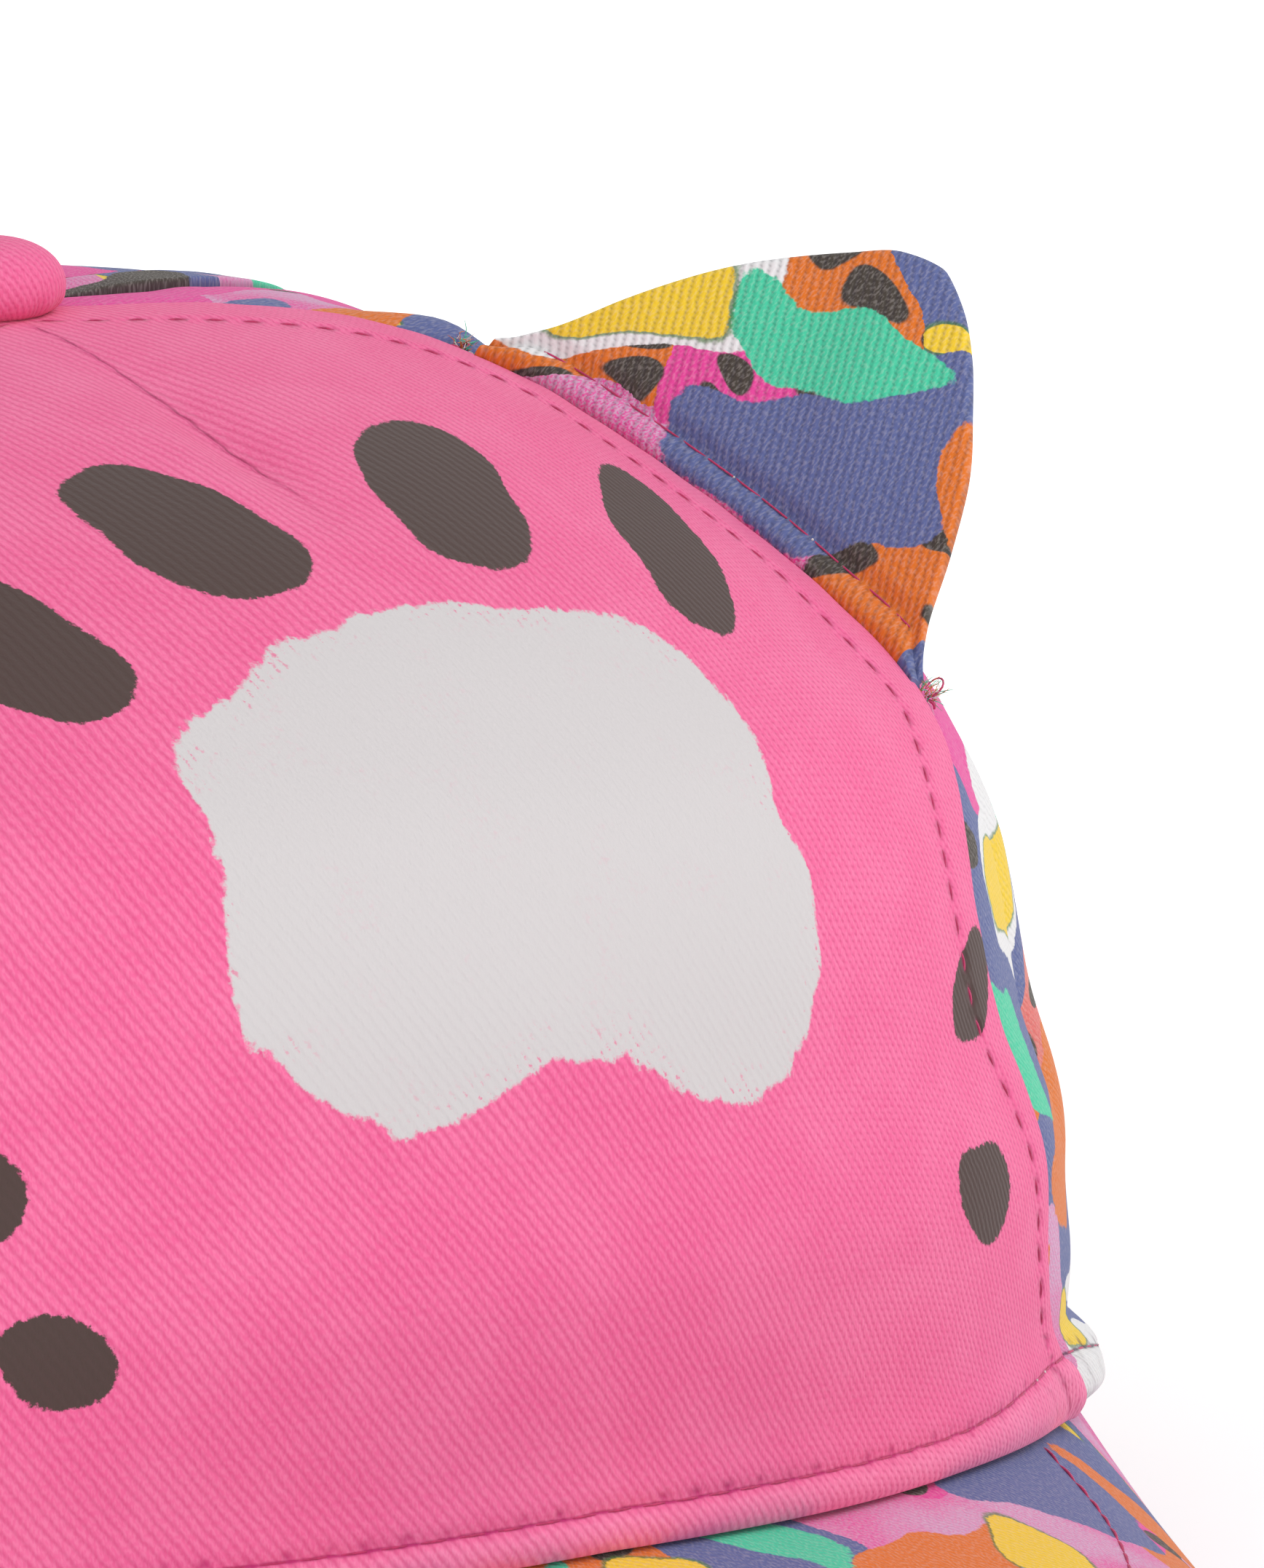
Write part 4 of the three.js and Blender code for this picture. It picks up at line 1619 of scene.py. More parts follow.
    def shape(self) -> PanelShape:
        """Works out the panel's outer face with all of its sewn relief.

        Returns:
            The face and what its sewing needs.
        """
        lifts = self.lifts()
        angles = self.angles(lifts)
        base = self.form.face(angles, lifts[:, None])
        normals = self.form.normal(angles, lifts[:, None])
        from_left, left_along, rows = self.seam_distances(base)
        from_right, right_along, _ = self.seam_distances(base[:, ::-1])
        from_right = from_right[:, ::-1]
        over = self.form.over_rim(angles, lifts[:, None])
        middle = base.shape[1] // 2
        centred = rows - rows[:, middle : middle + 1]
        cloth = np.stack([centred, 0 * centred + running_length(base[:, middle])[:, None]], -1)
        tip = 1 - smoothstep(lifts, 84, 88)[:, None]
        line = self.form.hem_line(angles)
        relief = self.edge_relief(from_left, over, left_along, self.seed + 5) * tip
        relief = relief + self.edge_relief(from_right, over, right_along, self.seed + 9) * tip
        relief = relief + self.hem_relief(over, line, centred) + self.softness(angles, lifts)
        relief = relief + self.fold_relief(angles, lifts)
        phases = np.where(from_left < from_right, left_along[:, None], right_along[:, None])
        phases = phases / self.stitch_pitch
        face = base + normals * relief[..., None]
        return PanelShape(face, normals, over, over - line, from_left, from_right, phases, cloth)

    def build(self, place: Placing, finishes: Sequence[bpy.types.Material]) -> PanelShape:
        """Builds the closed panel.

        Args:
            place: Sets it in the frame.
            finishes: The materials of its face and of its reverse.

        Returns:
            Its face, for the sewing.
        """
        shape = self.shape()
        lifts = self.lifts()
        angles = self.angles(lifts)
        inner = self.form.face(angles, lifts[:, None]) - shape.normals * self.depth
        inner[0, :, 2] = shape.face[0, :, 2]
        out = self.form.outward(angles[0])
        middle = (shape.face[0] + inner[0]) / 2
        radius = np.linalg.norm(shape.face[0] - inner[0], axis=-1)[:, None] / 2
        down = np.array([0.0, 0.0, -1.0])
        turns = np.radians([150, 120, 90, 60, 30])
        hem = np.stack([middle + radius * (-math.cos(t) * -out + 0.4 * math.sin(t) * down) for t in turns])
        hem[..., 2] = np.maximum(hem[..., 2], self.lowest)
        edge_away = np.minimum(shape.from_left, shape.from_right)
        sewn = self.edge is SeamEdge.TOPSTITCHED
        share = smoothstep(lifts, 64.5, 74) * (1 - smoothstep(lifts, 87.0, 88.4))
        values = {
            "over_rim": shape.over_rim,
            "hem_away": shape.hem_away,
            "edge_away": edge_away,
            "seam_away": edge_away + (0 if sewn else 50),
            "topstitch_away": edge_away - self.form.topstitch_inset(shape.over_rim) + (0 if sewn else 50),
            "seam_phase": shape.phases,
            "dart": np.repeat(share[:, None], angles.shape[1], 1),
        }
        surface = folded_solid(shape.face, inner, hem, shape.cloth, values)
        piece = make_piece(self.name, surface, place, finishes)
        diagonals = shape.face[1:, 1:] - shape.face[:-1, :-1], shape.face[:-1, 1:] - shape.face[1:, :-1]
        return shape

    def seam_line(self, shape: PanelShape) -> StitchLine:
        """Sews along the left seam of a panel's face.

        Args:
            shape: The face.

        Returns:
            The stitches.
        """
        away = shape.from_left - self.form.topstitch_inset(shape.over_rim)
        rows = shape.hem_away[:, 0] > 0.9
        return StitchLine.crossing(
            away[rows], shape.face[rows], shape.normals[rows], self.stitch_pitch, shape.phases[rows], 7.0
        )

    def hem_line(self, shape: PanelShape) -> StitchLine:
        """Sews along the hem of a panel's face.

        Args:
            shape: The face.

        Returns:
            The stitches.
        """
        phases = shape.cloth[..., 0] / self.hem_pitch
        turned = (x.swapaxes(0, 1) for x in (shape.hem_away, shape.face, shape.normals, phases))
        distance, face, normals, phases = turned
        return StitchLine.crossing(distance, face, normals, self.hem_pitch, phases)


class Crown:
    """The crown's five panels and their sewing."""

    def __init__(self, form: CapForm, place: Placing, finishes: Finishes) -> None:
        """Builds the panels.

        Args:
            form: The cap's main form.
            place: Sets the pieces in the frame.
            finishes: The cap's materials.
        """
        top, tuck = SeamEdge.TOPSTITCHED, SeamEdge.TUCKED
        front, back = form.front_seam, form.back_seam

        def centre(lift: Array) -> Array:
            """Returns the middle of the back."""
            return 180.0 + 0 * lift

        def mirrored(seam: Callable[[Array], Array]) -> Callable[[Array], Array]:
            """Returns a right seam's angles on the left."""
            return lambda lift: -seam(lift)

        self.panels = [
            ClothPanel("front_panel", form, mirrored(front), front, top, 120, 11, dart=True),
            ClothPanel("side_panel_right", form, front, back, tuck, 62, 23, fold=1.0),
            ClothPanel("side_panel_left", form, mirrored(back), mirrored(front), tuck, 62, 37, fold=1.0),
            ClothPanel("back_panel_right", form, back, centre, top, 62, 41),
            ClothPanel("back_panel_left", form, mirrored(centre), mirrored(back), top, 62, 53),
        ]
        pink, printed = (finishes.front, finishes.pink_reverse), (finishes.printed, finishes.reverse)
        self.shapes: dict[str, PanelShape] = {}
        for panel in self.panels:
            self.shapes[panel.name] = panel.build(place, pink if panel.dart else printed)

    def sew(self, sewing: Sewing) -> None:
        """Sews the seams' topstitching and the hem.

        Args:
            sewing: Sews the stitches.
        """
        for panel in self.panels:
            shape = self.shapes[panel.name]
            if panel.edge is SeamEdge.TOPSTITCHED:
                lines = [panel.seam_line(shape), panel.seam_line(shape.flipped())]
                sewing.sew(f"topstitch_{panel.name}", lines, 1.9, 0.11, 0.01, 0.22, slot="pink_twill")
            lines = [panel.hem_line(shape)]
            sewing.sew(
                f"hem_stitch_{panel.name}", lines, 2.6, 0.09, 0.0, 0.16, 0.07, panel.seed, "pink_twill"
            )


@dataclass
class Ears:
    """The two ears: flat two-layer pads caught in the front seams."""

    form: CapForm
    place: Placing
    finishes: Finishes
    back_lift: float = 71.7
    front_lift: float = 44.2
    rise: tuple[float, float, float] = (0.75, -0.04, 0.66)
    middle: float = 0.53
    sunk: float = 0.25
    roll_height: float = 2.9
    columns: int = 110
    behind: Curve = Curve(
        {0: 27.4, 0.15: 26.6, 0.3: 24.1, 0.45: 20.6, 0.6: 16.5, 0.75: 10.8, 0.88: 5.3, 1: 2.1}
    )
    before: Curve = Curve(
        {0: 27.4, 0.15: 25.8, 0.3: 23.2, 0.45: 19.7, 0.6: 15.8, 0.75: 10, 0.88: 4.2, 1: 1}
    )

    def frame(self, columns: int) -> tuple[Array, Array, Array, Array, Array]:
        """Works out the right ear's foot, edge and ways through its thickness.

        Args:
            columns: How many columns.

        Returns:
            The columns' feet, edges, shares of the chord, ways through at the foot and way through above.
        """
        lifts = np.linspace(self.back_lift, self.front_lift, columns)
        angles = self.form.front_seam(lifts)
        seam = self.form.face(angles, lifts)
        normal = self.form.normal(angles, lifts)
        chord = seam[-1] - seam[0]
        length = float(np.linalg.norm(chord))
        chord = chord / length
        rise = np.array(self.rise)
        rise = unit(rise - chord * float(rise @ chord))
        foot = seam - normal * self.sunk
        along = (foot - seam[0]) @ chord
        share = np.clip(along / length, 0, 1)
        high = np.where(
            share < self.middle,
            self.behind(1 - share / self.middle),
            self.before((share - self.middle) / (1 - self.middle)),
        )
        edge = seam[0] + along[:, None] * chord + high[:, None] * rise
        return foot, edge, along, unit(np.cross(normal, chord)), np.cross(rise, chord)

    def heights(self, lengths: Array) -> Array:
        """Sets each column's heights from foot to edge, close together at both.

        Args:
            lengths: The columns' lengths.

        Returns:
            The heights, columns by rows.
        """
        base = np.minimum(4.4, 0.5 * lengths)[:, None]
        rim = np.minimum(1.1, 0.2 * lengths)[:, None]
        lower = np.linspace(0, 1, 20)[:-1] * base
        middle = base + (lengths[:, None] - base - rim) * np.linspace(0, 1, 40)[:-1]
        upper = lengths[:, None] - rim * (1 - np.sin(np.linspace(0, math.pi / 2, 9)))
        return np.concatenate([lower, middle, upper], 1)

    def half_thickness(self, height: Array, lengths: Array) -> Array:
        """Works out half the pad's thickness: a roll at the foot, a pinch at the stitches, a turned edge.

        Args:
            height: The heights over the foot.
            lengths: The columns' lengths.

        Returns:
            Half the thickness there.
        """
        roll_top = np.minimum(self.roll_height, 0.6 * lengths)[:, None]
        share = np.clip(height / roll_top, 0, 1)
        roll = 0.34 + 1.15 * np.sin(math.pi * np.clip(share * 1.02, 0, 1)) ** 0.75
        upper = 0.34 + 0.55 * smoothstep(height - roll_top, 0, 1.8)
        half = np.where(height < roll_top, roll, upper)
        edge = np.clip((height - (lengths[:, None] - 0.9)) / 0.9, 0, 1)
        return half * np.sqrt(np.clip(1 - edge**2, 0.0004, 1))

    def faces(self, side: int, seed: int) -> tuple[Array, Array, Array]:
        """Works out an ear's front and back face.

        Args:
            side: 1 for the right ear, -1 for the left.
            seed: Picks its waves.

        Returns:
            The front face, the back face and the cloth coordinates, columns by heights.
        """
        foot, edge, along, at_foot, above = self.frame(self.columns)
        reach = edge - foot
        lengths = np.linalg.norm(reach, axis=-1)
        height = self.heights(lengths)
        share = height / lengths[:, None]
        line = foot[:, None] + reach[:, None] * share[..., None]
        turn = smoothstep(share, 0, 0.3)[..., None]
        through = unit(at_foot[:, None] * (1 - turn) + above * turn)
        half = self.half_thickness(height, lengths)
        sway = 0.35 * ripple(along[:, None] + 0.4 * height, 17.0, seed) * smoothstep(height, 3.5, 12)
        pinch = 0.12 * ripple(along, 3.1, seed + 2)[:, None] * bell(height - self.roll_height, 1.2)
        front = line + through * (sway - half + pinch)[..., None]
        back = line + through * (sway + half - pinch)[..., None]
        cloth = np.stack([np.repeat(along[:, None], height.shape[1], 1), height], -1)
        if side < 0:
            front, back = front * [-1, 1, 1], back * [-1, 1, 1]
            cloth = cloth * [-1, 1] + [9.0, 21.0]
        return front, back, cloth

    def build(self, sewing: Sewing) -> None:
        """Builds both ears, their topstitching and the raw ends at their corners.

        Args:
            sewing: Sews the stitches.
        """
        for side, word in ((1, "right"), (-1, "left")):
            name = f"ear_{word}"
            front, back, cloth = self.faces(side, 5 if side > 0 else 8)
            surface = joined_faces(front, back, cloth)
            piece = make_piece(name, surface, self.place, [self.finishes.printed_ear])
            over = cloth[..., 1] - cloth[:, :1, 1] - self.roll_height
            lines = [
                StitchLine.crossing(over, face, unit(face - other), 2.8)
                for face, other in ((front, back), (back, front))
            ]
            sewing.sew(f"topstitch_{name}", lines, 2.6, 0.08, sink=0.1, specks=0.16, seed=4)
            self.finish_corners(sewing, side, word)

    def finish_corners(self, sewing: Sewing, side: int, word: str) -> None:
        """Adds the bar of stitches and the loose fibres where an ear's corners meet the seam.

        Args:
            sewing: Sews the bars.
            side: 1 for the right ear, -1 for the left.
            word: The ear's side, for the names.
        """
        mirror = np.array([side, 1, 1])
        bars = []
        corners = (("lower", self.front_lift, -0.9, 1.0), ("upper", self.back_lift, 0.9, 0.35))
        for corner, lift, beyond, loop_size in corners:
            angle = self.form.front_seam(lift)
            foot = self.form.face(angle + 0.9, lift + beyond)
            normal = self.form.normal(angle, lift)
            ahead = unit(self.form.face(angle, lift + 0.5) - self.form.face(angle, lift - 0.5))
            sideways = unit(np.cross(ahead, normal))
            way = unit(0.7 * normal + sideways * 0.7 - ahead * beyond * 0.2)
            seed = 60 + side + int(lift)
            root = (foot + normal * 0.3) * mirror
            fray = Fray(self.place, self.finishes, seed, loop_size)
            fray.tuft(f"fray_{corner}_{word}", root, way * mirror)
            steps = np.linspace(-0.8, 0.5, 14)[:, None]
            line = foot + normal * 0.2 + ahead * beyond * 0.7 + sideways * steps
            ways = np.repeat(normal[None], len(line), 0)
            bars.append(StitchLine.spaced(line * mirror, ways * mirror, running_length(line) / 0.42))
        for bar in bars:
            bar.along, bar.up = unit(np.cross(bar.up, bar.along)), bar.up
        sewing.sew(f"bar_tacks_{word}", bars, 0.8, radius=0.1, rise=0.06, sink=0.12)


@dataclass
class Fray:
    """Loose fibres and a thread loop where a sewn corner was cut."""

    place: Placing
    finishes: Finishes
    seed: int
    loop_size: float
    spread: float = 0.42
    count: int = 60
    sides: int = 5
    rings: int = 8

    def fibre(self, points: Array, radius: float) -> tuple[Array, Array]:
        """Makes a thin tube along a curve, pointed at its end.

        Args:
            points: The curve.
            radius: The tube's radius.

        Returns:
            Its corners and its faces.
        """
        along = unit(np.gradient(points, axis=0))
        across = unit(np.cross(along, [0.3, -0.2, 0.93]))
        over = np.cross(along, across)
        turns = np.linspace(0, FULL_TURN, self.sides + 1)[:-1]
        ring = across[:, None] * np.cos(turns)[:, None] + over[:, None] * np.sin(turns)[:, None]
        thin = radius * (1 - 0.75 * np.linspace(0, 1, len(points)) ** 3)
        corners = points[:, None] + ring * thin[:, None, None]
        number = np.arange(len(points) * self.sides).reshape(len(points), self.sides)
        return corners.reshape(-1, 3), quads(number, columns_close=True).reshape(-1, 4)

    def tuft(self, name: str, where: Array, way: Array) -> None:
        """Builds a tuft of fibres.

        Args:
            name: The piece's name.
            where: The tuft's middle, in millimetres.
            way: The way that its fibres point.
        """
        draws = np.random.default_rng(self.seed)
        fibres = []
        steps = np.linspace(0, 1, self.rings)[:, None]
        for index in range(self.count):
            root = where + draws.normal(0, self.spread, 3)
            lean = unit(way + draws.normal(0, 0.6, 3))
            curl = unit(np.cross(lean, draws.normal(0, 1, 3)))
            length = draws.uniform(0.4, 1.4)
            bend = draws.uniform(-1.6, 1.6)
            path = root + length * (steps * lean + bend * steps * steps * curl * 0.6)
            fibres.append((path, draws.uniform(0.025, 0.05), index % 3))
        side = unit(np.cross(way, [0.0, 0.0, 1.0]))
        turns = np.linspace(0, 1.7 * math.pi, 16)[:, None]
        loop = way * (0.9 + 1.0 * np.cos(turns + math.pi)) + side * 0.65 * np.sin(turns)
        fibres.append((where + loop * self.loop_size, 0.09, 3))
        corners, faces, looks = [], [], []
        for path, radius, look in fibres:
            points, joins = self.fibre(path, radius)
            faces.append(joins + sum(map(len, corners)))
            corners.append(points)
            looks.append(np.full(len(joins), look))
        joined = np.concatenate(corners)
        surface = Surface(joined, np.concatenate(faces), joined[:, :2], {}, np.concatenate(looks))
        threads = [self.finishes.raw, self.finishes.mint, self.finishes.rust, self.finishes.thread]
        make_piece(name, surface, self.place, threads, stands_in=False)


@dataclass
class Brim:
    """The curved peak: a board covered in printed cloth, sewn in rows along its edge."""

    form: CapForm
    place: Placing
    finishes: Finishes
    reach: float = 58.0
    corner: float = 60.0
    rounding: float = 1.95
    thickness: float = 2.6
    fall_middle: float = 0.175
    fall_side: float = 0.65
    fall_curve: float = 5.0
    corner_out: float = 2.0
    gap: float = 0.3
    stitch_row: float = 21.4
    pitch: float = 2.96
    run_on: float = 2.6

    def face(self, turn: Array, reach: Array) -> Array:
        """Works out the peak's upper face.

        Args:
            turn: The place from the left corner, -1, to the right one, 1.
            reach: The place from the rim, 0, to the edge, 1.

        Returns:
            The points.
        """
        turn, reach = spread(turn, reach)
        quarter = turn * math.pi / 2
        side_share = np.abs(np.sin(quarter)) ** (2 / self.rounding)
        front_share = np.maximum(0, np.cos(quarter)) ** (2 / self.rounding)
        rim_turn = np.arcsin(np.clip(side_share * math.sin(math.radians(self.corner)), 0, 1))
        angle = np.sign(turn) * np.degrees(rim_turn)
        inner = self.form.face(angle, 0 * angle) - self.form.outward(angle) * self.form.cloth
        corner = np.array(self.corner)
        tip = self.form.plain(corner, 0 * corner) + self.form.outward(corner) * self.corner_out
        x = np.sign(turn) * tip[0] * side_share
        y = tip[1] - (self.form.half_length + self.reach + tip[1]) * front_share
        outer = np.stack([x, y, inner[..., 2]], -1)
        run = np.linalg.norm(outer - inner, axis=-1) * reach
        fall = self.fall_middle + (self.fall_side - self.fall_middle) * side_share**self.fall_curve
        point = inner + (outer - inner) * reach[..., None]
        point[..., 2] -= self.gap + fall * run
        return point

    def normal(self, turn: Array, reach: Array) -> Array:
        """Works out the upper face's normals.

        Args:
            turn: The place from the left corner, -1, to the right one, 1.
            reach: The place from the rim, 0, to the edge, 1.

        Returns:
            The normals.
        """
        step = 0.01
        right = self.face(np.minimum(turn + step, 1), reach)
        left = self.face(np.maximum(turn - step, -1), reach)
        near = self.face(turn, np.maximum(reach - step, 0))
        far = self.face(turn, np.minimum(reach + step, 1))
        return unit(np.cross(right - left, near - far))

    def build(self, sewing: Sewing) -> None:
        """Builds the peak and sews its rows.

        Args:
            sewing: Sews the stitches.
        """
        even = np.linspace(-1, 1, 221)
        turns = np.sin(even * math.pi / 2 * 0.999) * 0.15 + even * 0.85
        shares = np.concatenate([np.linspace(0, 0.9, 64)[:-1], np.linspace(0.9, 1, 26)])
        turn, reach = np.meshgrid(turns, shares, indexing="ij")
        upper, normals = self.face(turn, reach), self.normal(turn, reach)
        edge = upper[:, -1]
        away = np.full(turn.shape, 1e3)
        for k in range(len(edge) - 1):
            start, way = edge[k], edge[k + 1] - edge[k]
            part = np.clip((upper - start) @ way / max(float(way @ way), 1e-9), 0, 1)
            away = np.minimum(away, np.linalg.norm(upper - start - part[..., None] * way, axis=-1))
        along = running_length(edge)[:, None]
        relief = 0.1 * ripple(away + 0.2 * along, 9.0, 3) * smoothstep(away, 1, 4)
        relief = relief - 0.1 * bell(away - self.stitch_row, 0.9)
        rounding = 1 - np.sqrt(np.clip(1 - (1 - np.minimum(away / 1.3, 1)) ** 2, 0, 1))
        half = self.thickness / 2
        top = upper + normals * (relief - half * rounding)[..., None]
        bottom = upper - normals * (self.thickness + relief - half * rounding)[..., None]
        cloth = np.stack([upper[..., 0], upper[..., 1] * 1.02], -1)
        surface = joined_faces(top, bottom, cloth)
        make_piece("brim", surface, self.place, [self.finishes.printed_brim])
        over = away[:, ::-1] - self.stitch_row
        lines = [
            StitchLine.crossing(
                over, face[:, ::-1], normals[:, ::-1] * way, self.pitch, spare=0.02, run_on=self.run_on
            )
            for face, way in ((top, 1.0), (bottom, -1.0))
        ]
        sewing.sew("brim_stitches", lines, 2.7, radius=0.12, sink=0.06, specks=0.03, seed=6)


@dataclass
class Sweatband:
    """The plain band inside the rim."""

    form: CapForm
    place: Placing
    finishes: Finishes
    inset: float = 0.9
    thickness: float = 1.2
    foot: float = 1.0
    height: float = 24.0

    def build(self) -> None:
        """Builds the band as a closed loop with rounded edges."""
        angles = np.linspace(-180, 180, 361)[:-1]
        half = self.thickness / 2
        turns = np.linspace(-math.pi / 2, math.pi / 2, 7)
        heights = np.concatenate([np.linspace(0, 1, 30), np.ones(5), np.linspace(1, 0, 30), np.zeros(5)])
        sides = np.concatenate([np.ones(30), -np.sin(turns[1:-1]), -np.ones(30), np.sin(turns[1:-1])])
        bulge = np.concatenate([np.zeros(30), np.cos(turns[1:-1]), np.zeros(30), -np.cos(turns[1:-1])])
        angle, share = np.meshgrid(angles, heights, indexing="ij")
        lift = self.form.lift_over(angle, self.foot + half + (self.height - self.thickness) * share)
        inset = self.form.cloth + self.inset + half
        middle = self.form.plain(angle, lift) - self.form.outward(angle) * inset
        waves = 0.12 * ripple(angle * 1.4, 12.0, 2) * np.sin(math.pi * share)
        points = middle + self.form.outward(angle) * (sides * half + waves)[..., None]
        points[..., 2] += bulge * half
        columns, rows = points.shape[:2]
        wrapped = np.concatenate([points, points[:1]])
        faces = quads(np.arange(columns * rows).reshape(columns, rows), True, True).reshape(-1, 4)
        travelled = running_length(wrapped[:, 0])[:-1]
        cloth = np.stack([np.repeat(travelled[:, None], rows, 1), share * self.height + sides * 3], -1)
        surface = Surface(points.reshape(-1, 3), faces, cloth.reshape(-1, 2)).outwards()
        piece = make_piece("sweatband", surface, self.place, [self.finishes.tape])


@dataclass
class TopButton:
    """The covered button on top, with its hidden post."""

    form: CapForm
    place: Placing
    finishes: Finishes
    sides: int = 96

    def profile(self) -> tuple[Array, Array]:
        """Works out the button's profile, from the post's foot to the dome's top.

        Returns:
            Its radii and its heights.
        """
        post = [(0, -3.6), (3.8, -3.6), (4.2, -3.2), (4.2, -2.3), (2.1, -2.2), (2.1, 0.3), (3.2, 0.35)]
        turns = np.linspace(-0.36 * math.pi, 0.5 * math.pi, 34)
        dome_radius = 5.95 * np.cos(turns) ** np.where(turns > 0, 0.8, 0.45)
        dome_height = 1.9 + np.where(turns > 0, 3.6, 2.35) * np.sin(turns)
        radii = np.concatenate([[r for r, _ in post], dome_radius])
        heights = np.concatenate([[h for _, h in post], dome_height])
        radii[-1] = 0.0
        return radii, heights

    def build(self) -> None:
        """Builds the button with the small gathers of its cover."""
        radii, heights = self.profile()
        turns = np.linspace(0, FULL_TURN, self.sides + 1)[:-1]
        folds = np.cos(turns * 17 + 0.8 * np.sin(3 * turns))
        gather = np.outer(folds, bell(heights - 0.9, 0.8) * (radii > 4.4))
        radius = radii + 0.09 * gather
        x = radius * np.cos(turns)[:, None]
        y = radius * np.sin(turns)[:, None]
        z = np.repeat(heights[None], self.sides, 0)
        centre = np.array([0.0, self.form.button_set_back, self.form.height])
        points = np.stack([x, y, z], -1) + centre
        stretch = running_length(np.stack([radii, heights, 0 * radii], -1))
        stretch = stretch[-1] - stretch
        cloth = np.stack([np.outer(np.cos(turns), stretch), np.outer(np.sin(turns), stretch)], -1)
        rows = len(radii)
        inner = points[:, 1:-1].reshape(-1, 3)
        ends = np.stack([points[0, 0], points[0, -1]])
        corner = np.arange(self.sides * (rows - 2)).reshape(self.sides, rows - 2)
        faces = quads(corner.T, columns_close=True).swapaxes(0, 1).reshape(-1, 4)
        foot, top = len(inner), len(inner) + 1
        caps = []
        for k in range(0, self.sides, 2):
            far = (k + 2) % self.sides
            caps.append([foot, corner[far, 0], corner[k + 1, 0], corner[k, 0]])
            caps.append([top, corner[k, -1], corner[k + 1, -1], corner[far, -1]])
        flat = np.concatenate([cloth[:, 1:-1].reshape(-1, 2), [[0, 0], [0, 0]]])
        surface = Surface(np.concatenate([inner, ends]), np.concatenate([faces, np.array(caps)]), flat)
        make_piece("button", surface.outwards(), self.place, [self.finishes.pink])


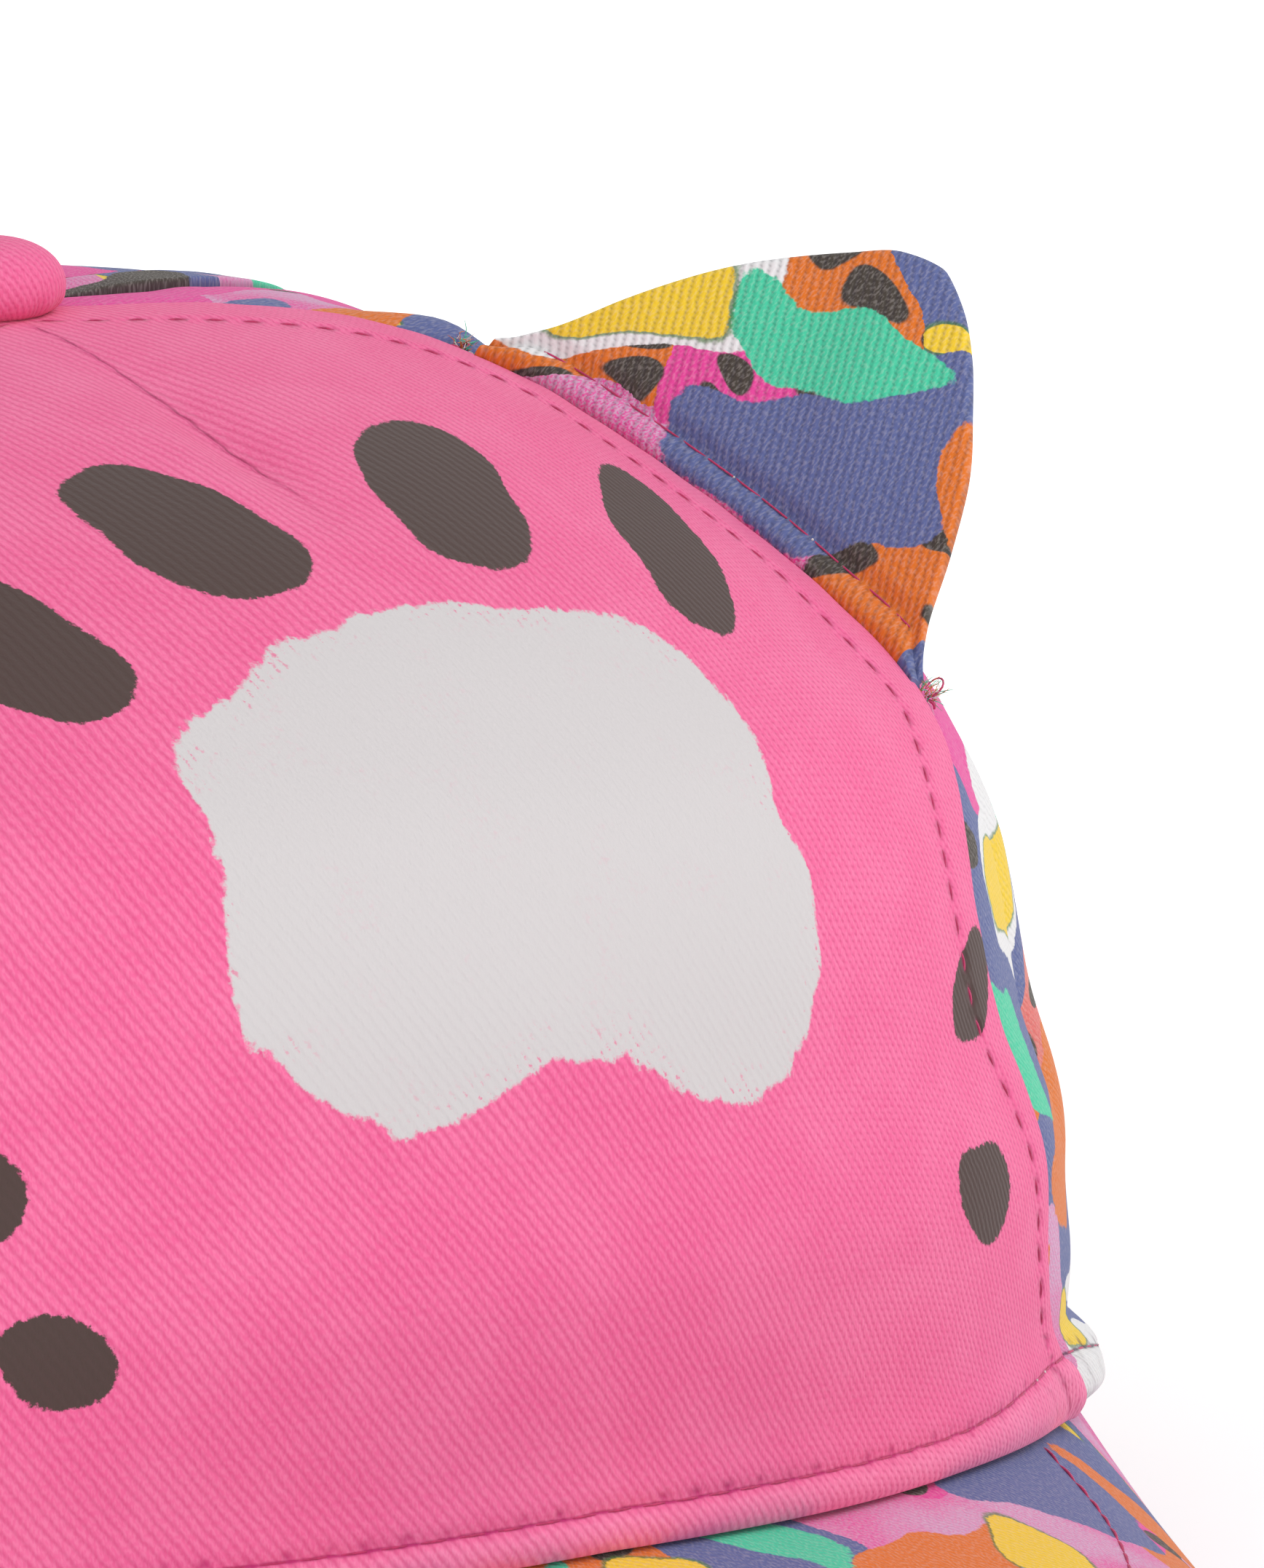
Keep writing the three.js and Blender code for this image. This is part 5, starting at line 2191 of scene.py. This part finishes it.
@dataclass
class Studio:
    """A plain pale floor, soft light and a camera at the photograph's angle, in millimetres."""

    place: Placing
    azimuth: float = -28.41
    elevation: float = 13.89
    roll: float = -0.15
    distance: float = 924.2
    pixels_per_mm: float = 17.97
    target: tuple[float, float, float] = (0.0, 0.0, 61.2)
    aim_right: float = 47.4
    aim_up: float = -0.51
    frame_height: float = 2154.0
    sensor: float = 36.0

    def build(self) -> None:
        """Builds the floor, the lights and the camera."""
        self.floor()
        self.lights()
        self.camera()
        bpy.context.scene.view_settings.view_transform = "Standard"

    def floor(self) -> None:
        """Lays a wide pale floor that glows as painted light, a little near the cap and more farther from
        it.
        """
        half = 6.0
        corners = [(-half, -half, 0), (half, -half, 0), (half, half, 0), (-half, half, 0)]
        mesh = bpy.data.meshes.new("floor")
        mesh.from_pydata(corners, [], [(0, 1, 2, 3)])
        made, nodes = new_material("pale_floor")
        place = nodes.node("ShaderNodeTexCoord").outputs["Object"]
        far = nodes.value(nodes.node("ShaderNodeVectorMath", {0: place}, operation="LENGTH"), "Value")
        # Painted light: the floor's emission stands in for lamps on the backdrop, rising with distance from
        # the cap.
        painted_floor_glow = nodes.blend(far.step(0.09, 0.4), (0.2, 0.2, 0.2, 1.0), (0.62, 0.62, 0.62, 1.0))
        nodes.principled(
            {
                "Base Color": (0.9, 0.9, 0.9, 1.0),
                "Roughness": 0.9,
                "Specular IOR Level": 0.0,
                "Emission Color": painted_floor_glow,
                "Emission Strength": 1.0,
            }
        )
        mesh.materials.append(made)
        new_object("floor", mesh)

    def axes(self) -> tuple[Vector, Vector, Vector]:
        """Works out how the camera stands before it is aimed.

        Returns:
            Its right, its up and the way back to it.
        """
        a, e, r = (math.radians(x) for x in (self.azimuth, self.elevation, self.roll))
        back = Vector((math.sin(a) * math.cos(e), -math.cos(a) * math.cos(e), math.sin(e)))
        level = Vector((math.cos(a), math.sin(a), 0))
        above = back.cross(level)
        return math.cos(r) * level + math.sin(r) * above, -math.sin(r) * level + math.cos(r) * above, back

    def lights(self) -> None:
        """Sets an even sky and two large soft lamps, placed from the camera's side."""
        scene = bpy.context.scene
        scene.world = bpy.data.worlds.new("soft_sky")
        scene.world.use_nodes = True
        nodes = Nodes(scene.world.node_tree)
        sky = nodes.node("ShaderNodeBackground", {"Color": (1.0, 1.0, 1.0, 1.0), "Strength": 0.62})
        nodes.node("ShaderNodeOutputWorld", {"Surface": sky})
        right, up, back = self.axes()
        middle = Vector(self.place(np.array((0, 0, 50))))
        lamps = (("key", (520, 620, 240), 620.0, 3.1), ("fill", (-500, -40, 800), 600.0, 2.6))
        for name, where, width, power in lamps:
            light = bpy.data.lights.new(name, "AREA")
            light.shape = "DISK"
            light.size = width * MM
            light.energy = power
            lamp = bpy.data.objects.new(name, light)
            scene.collection.objects.link(lamp)
            away = (right * where[0] + up * where[1] + back * where[2]) * MM
            turned = away.to_track_quat("Z", "Y").to_matrix().to_4x4()
            lamp.matrix_world = Matrix.Translation(middle + away) @ turned

    def camera(self) -> None:
        """Points the camera as the photograph was taken."""
        right, up, back = self.axes()
        target = Vector(self.place(np.array(self.target)))
        eye = target + back * self.distance * MM
        aim = target + (right * self.aim_right + up * self.aim_up) * MM
        looking = (eye - aim).normalized()
        across = up.cross(looking).normalized()
        over = looking.cross(across)
        data = bpy.data.cameras.new("camera")
        data.sensor_width = self.sensor
        data.lens = self.pixels_per_mm * self.distance * self.sensor / self.frame_height
        data.clip_start, data.clip_end = 0.05, 50
        camera = bpy.data.objects.new("camera", data)
        bpy.context.scene.collection.objects.link(camera)
        turned = Matrix((across, over, looking)).transposed().to_4x4()
        camera.matrix_world = Matrix.Translation(eye) @ turned
        bpy.context.scene.camera = camera


def main() -> None:
    """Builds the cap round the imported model."""
    logging.basicConfig(level=logging.INFO, format="%(name)s: %(message)s")
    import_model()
    form = CapForm()
    place = Placing(form)
    Studio(place).build()
    finishes = Finishes()
    sewing = Sewing(place, finishes)
    crown = Crown(form, place, finishes)
    crown.sew(sewing)
    Ears(form, place, finishes).build(sewing)
    Brim(form, place, finishes).build(sewing)
    Sweatband(form, place, finishes).build()
    TopButton(form, place, finishes).build()


if __name__ == "__main__":
    main()
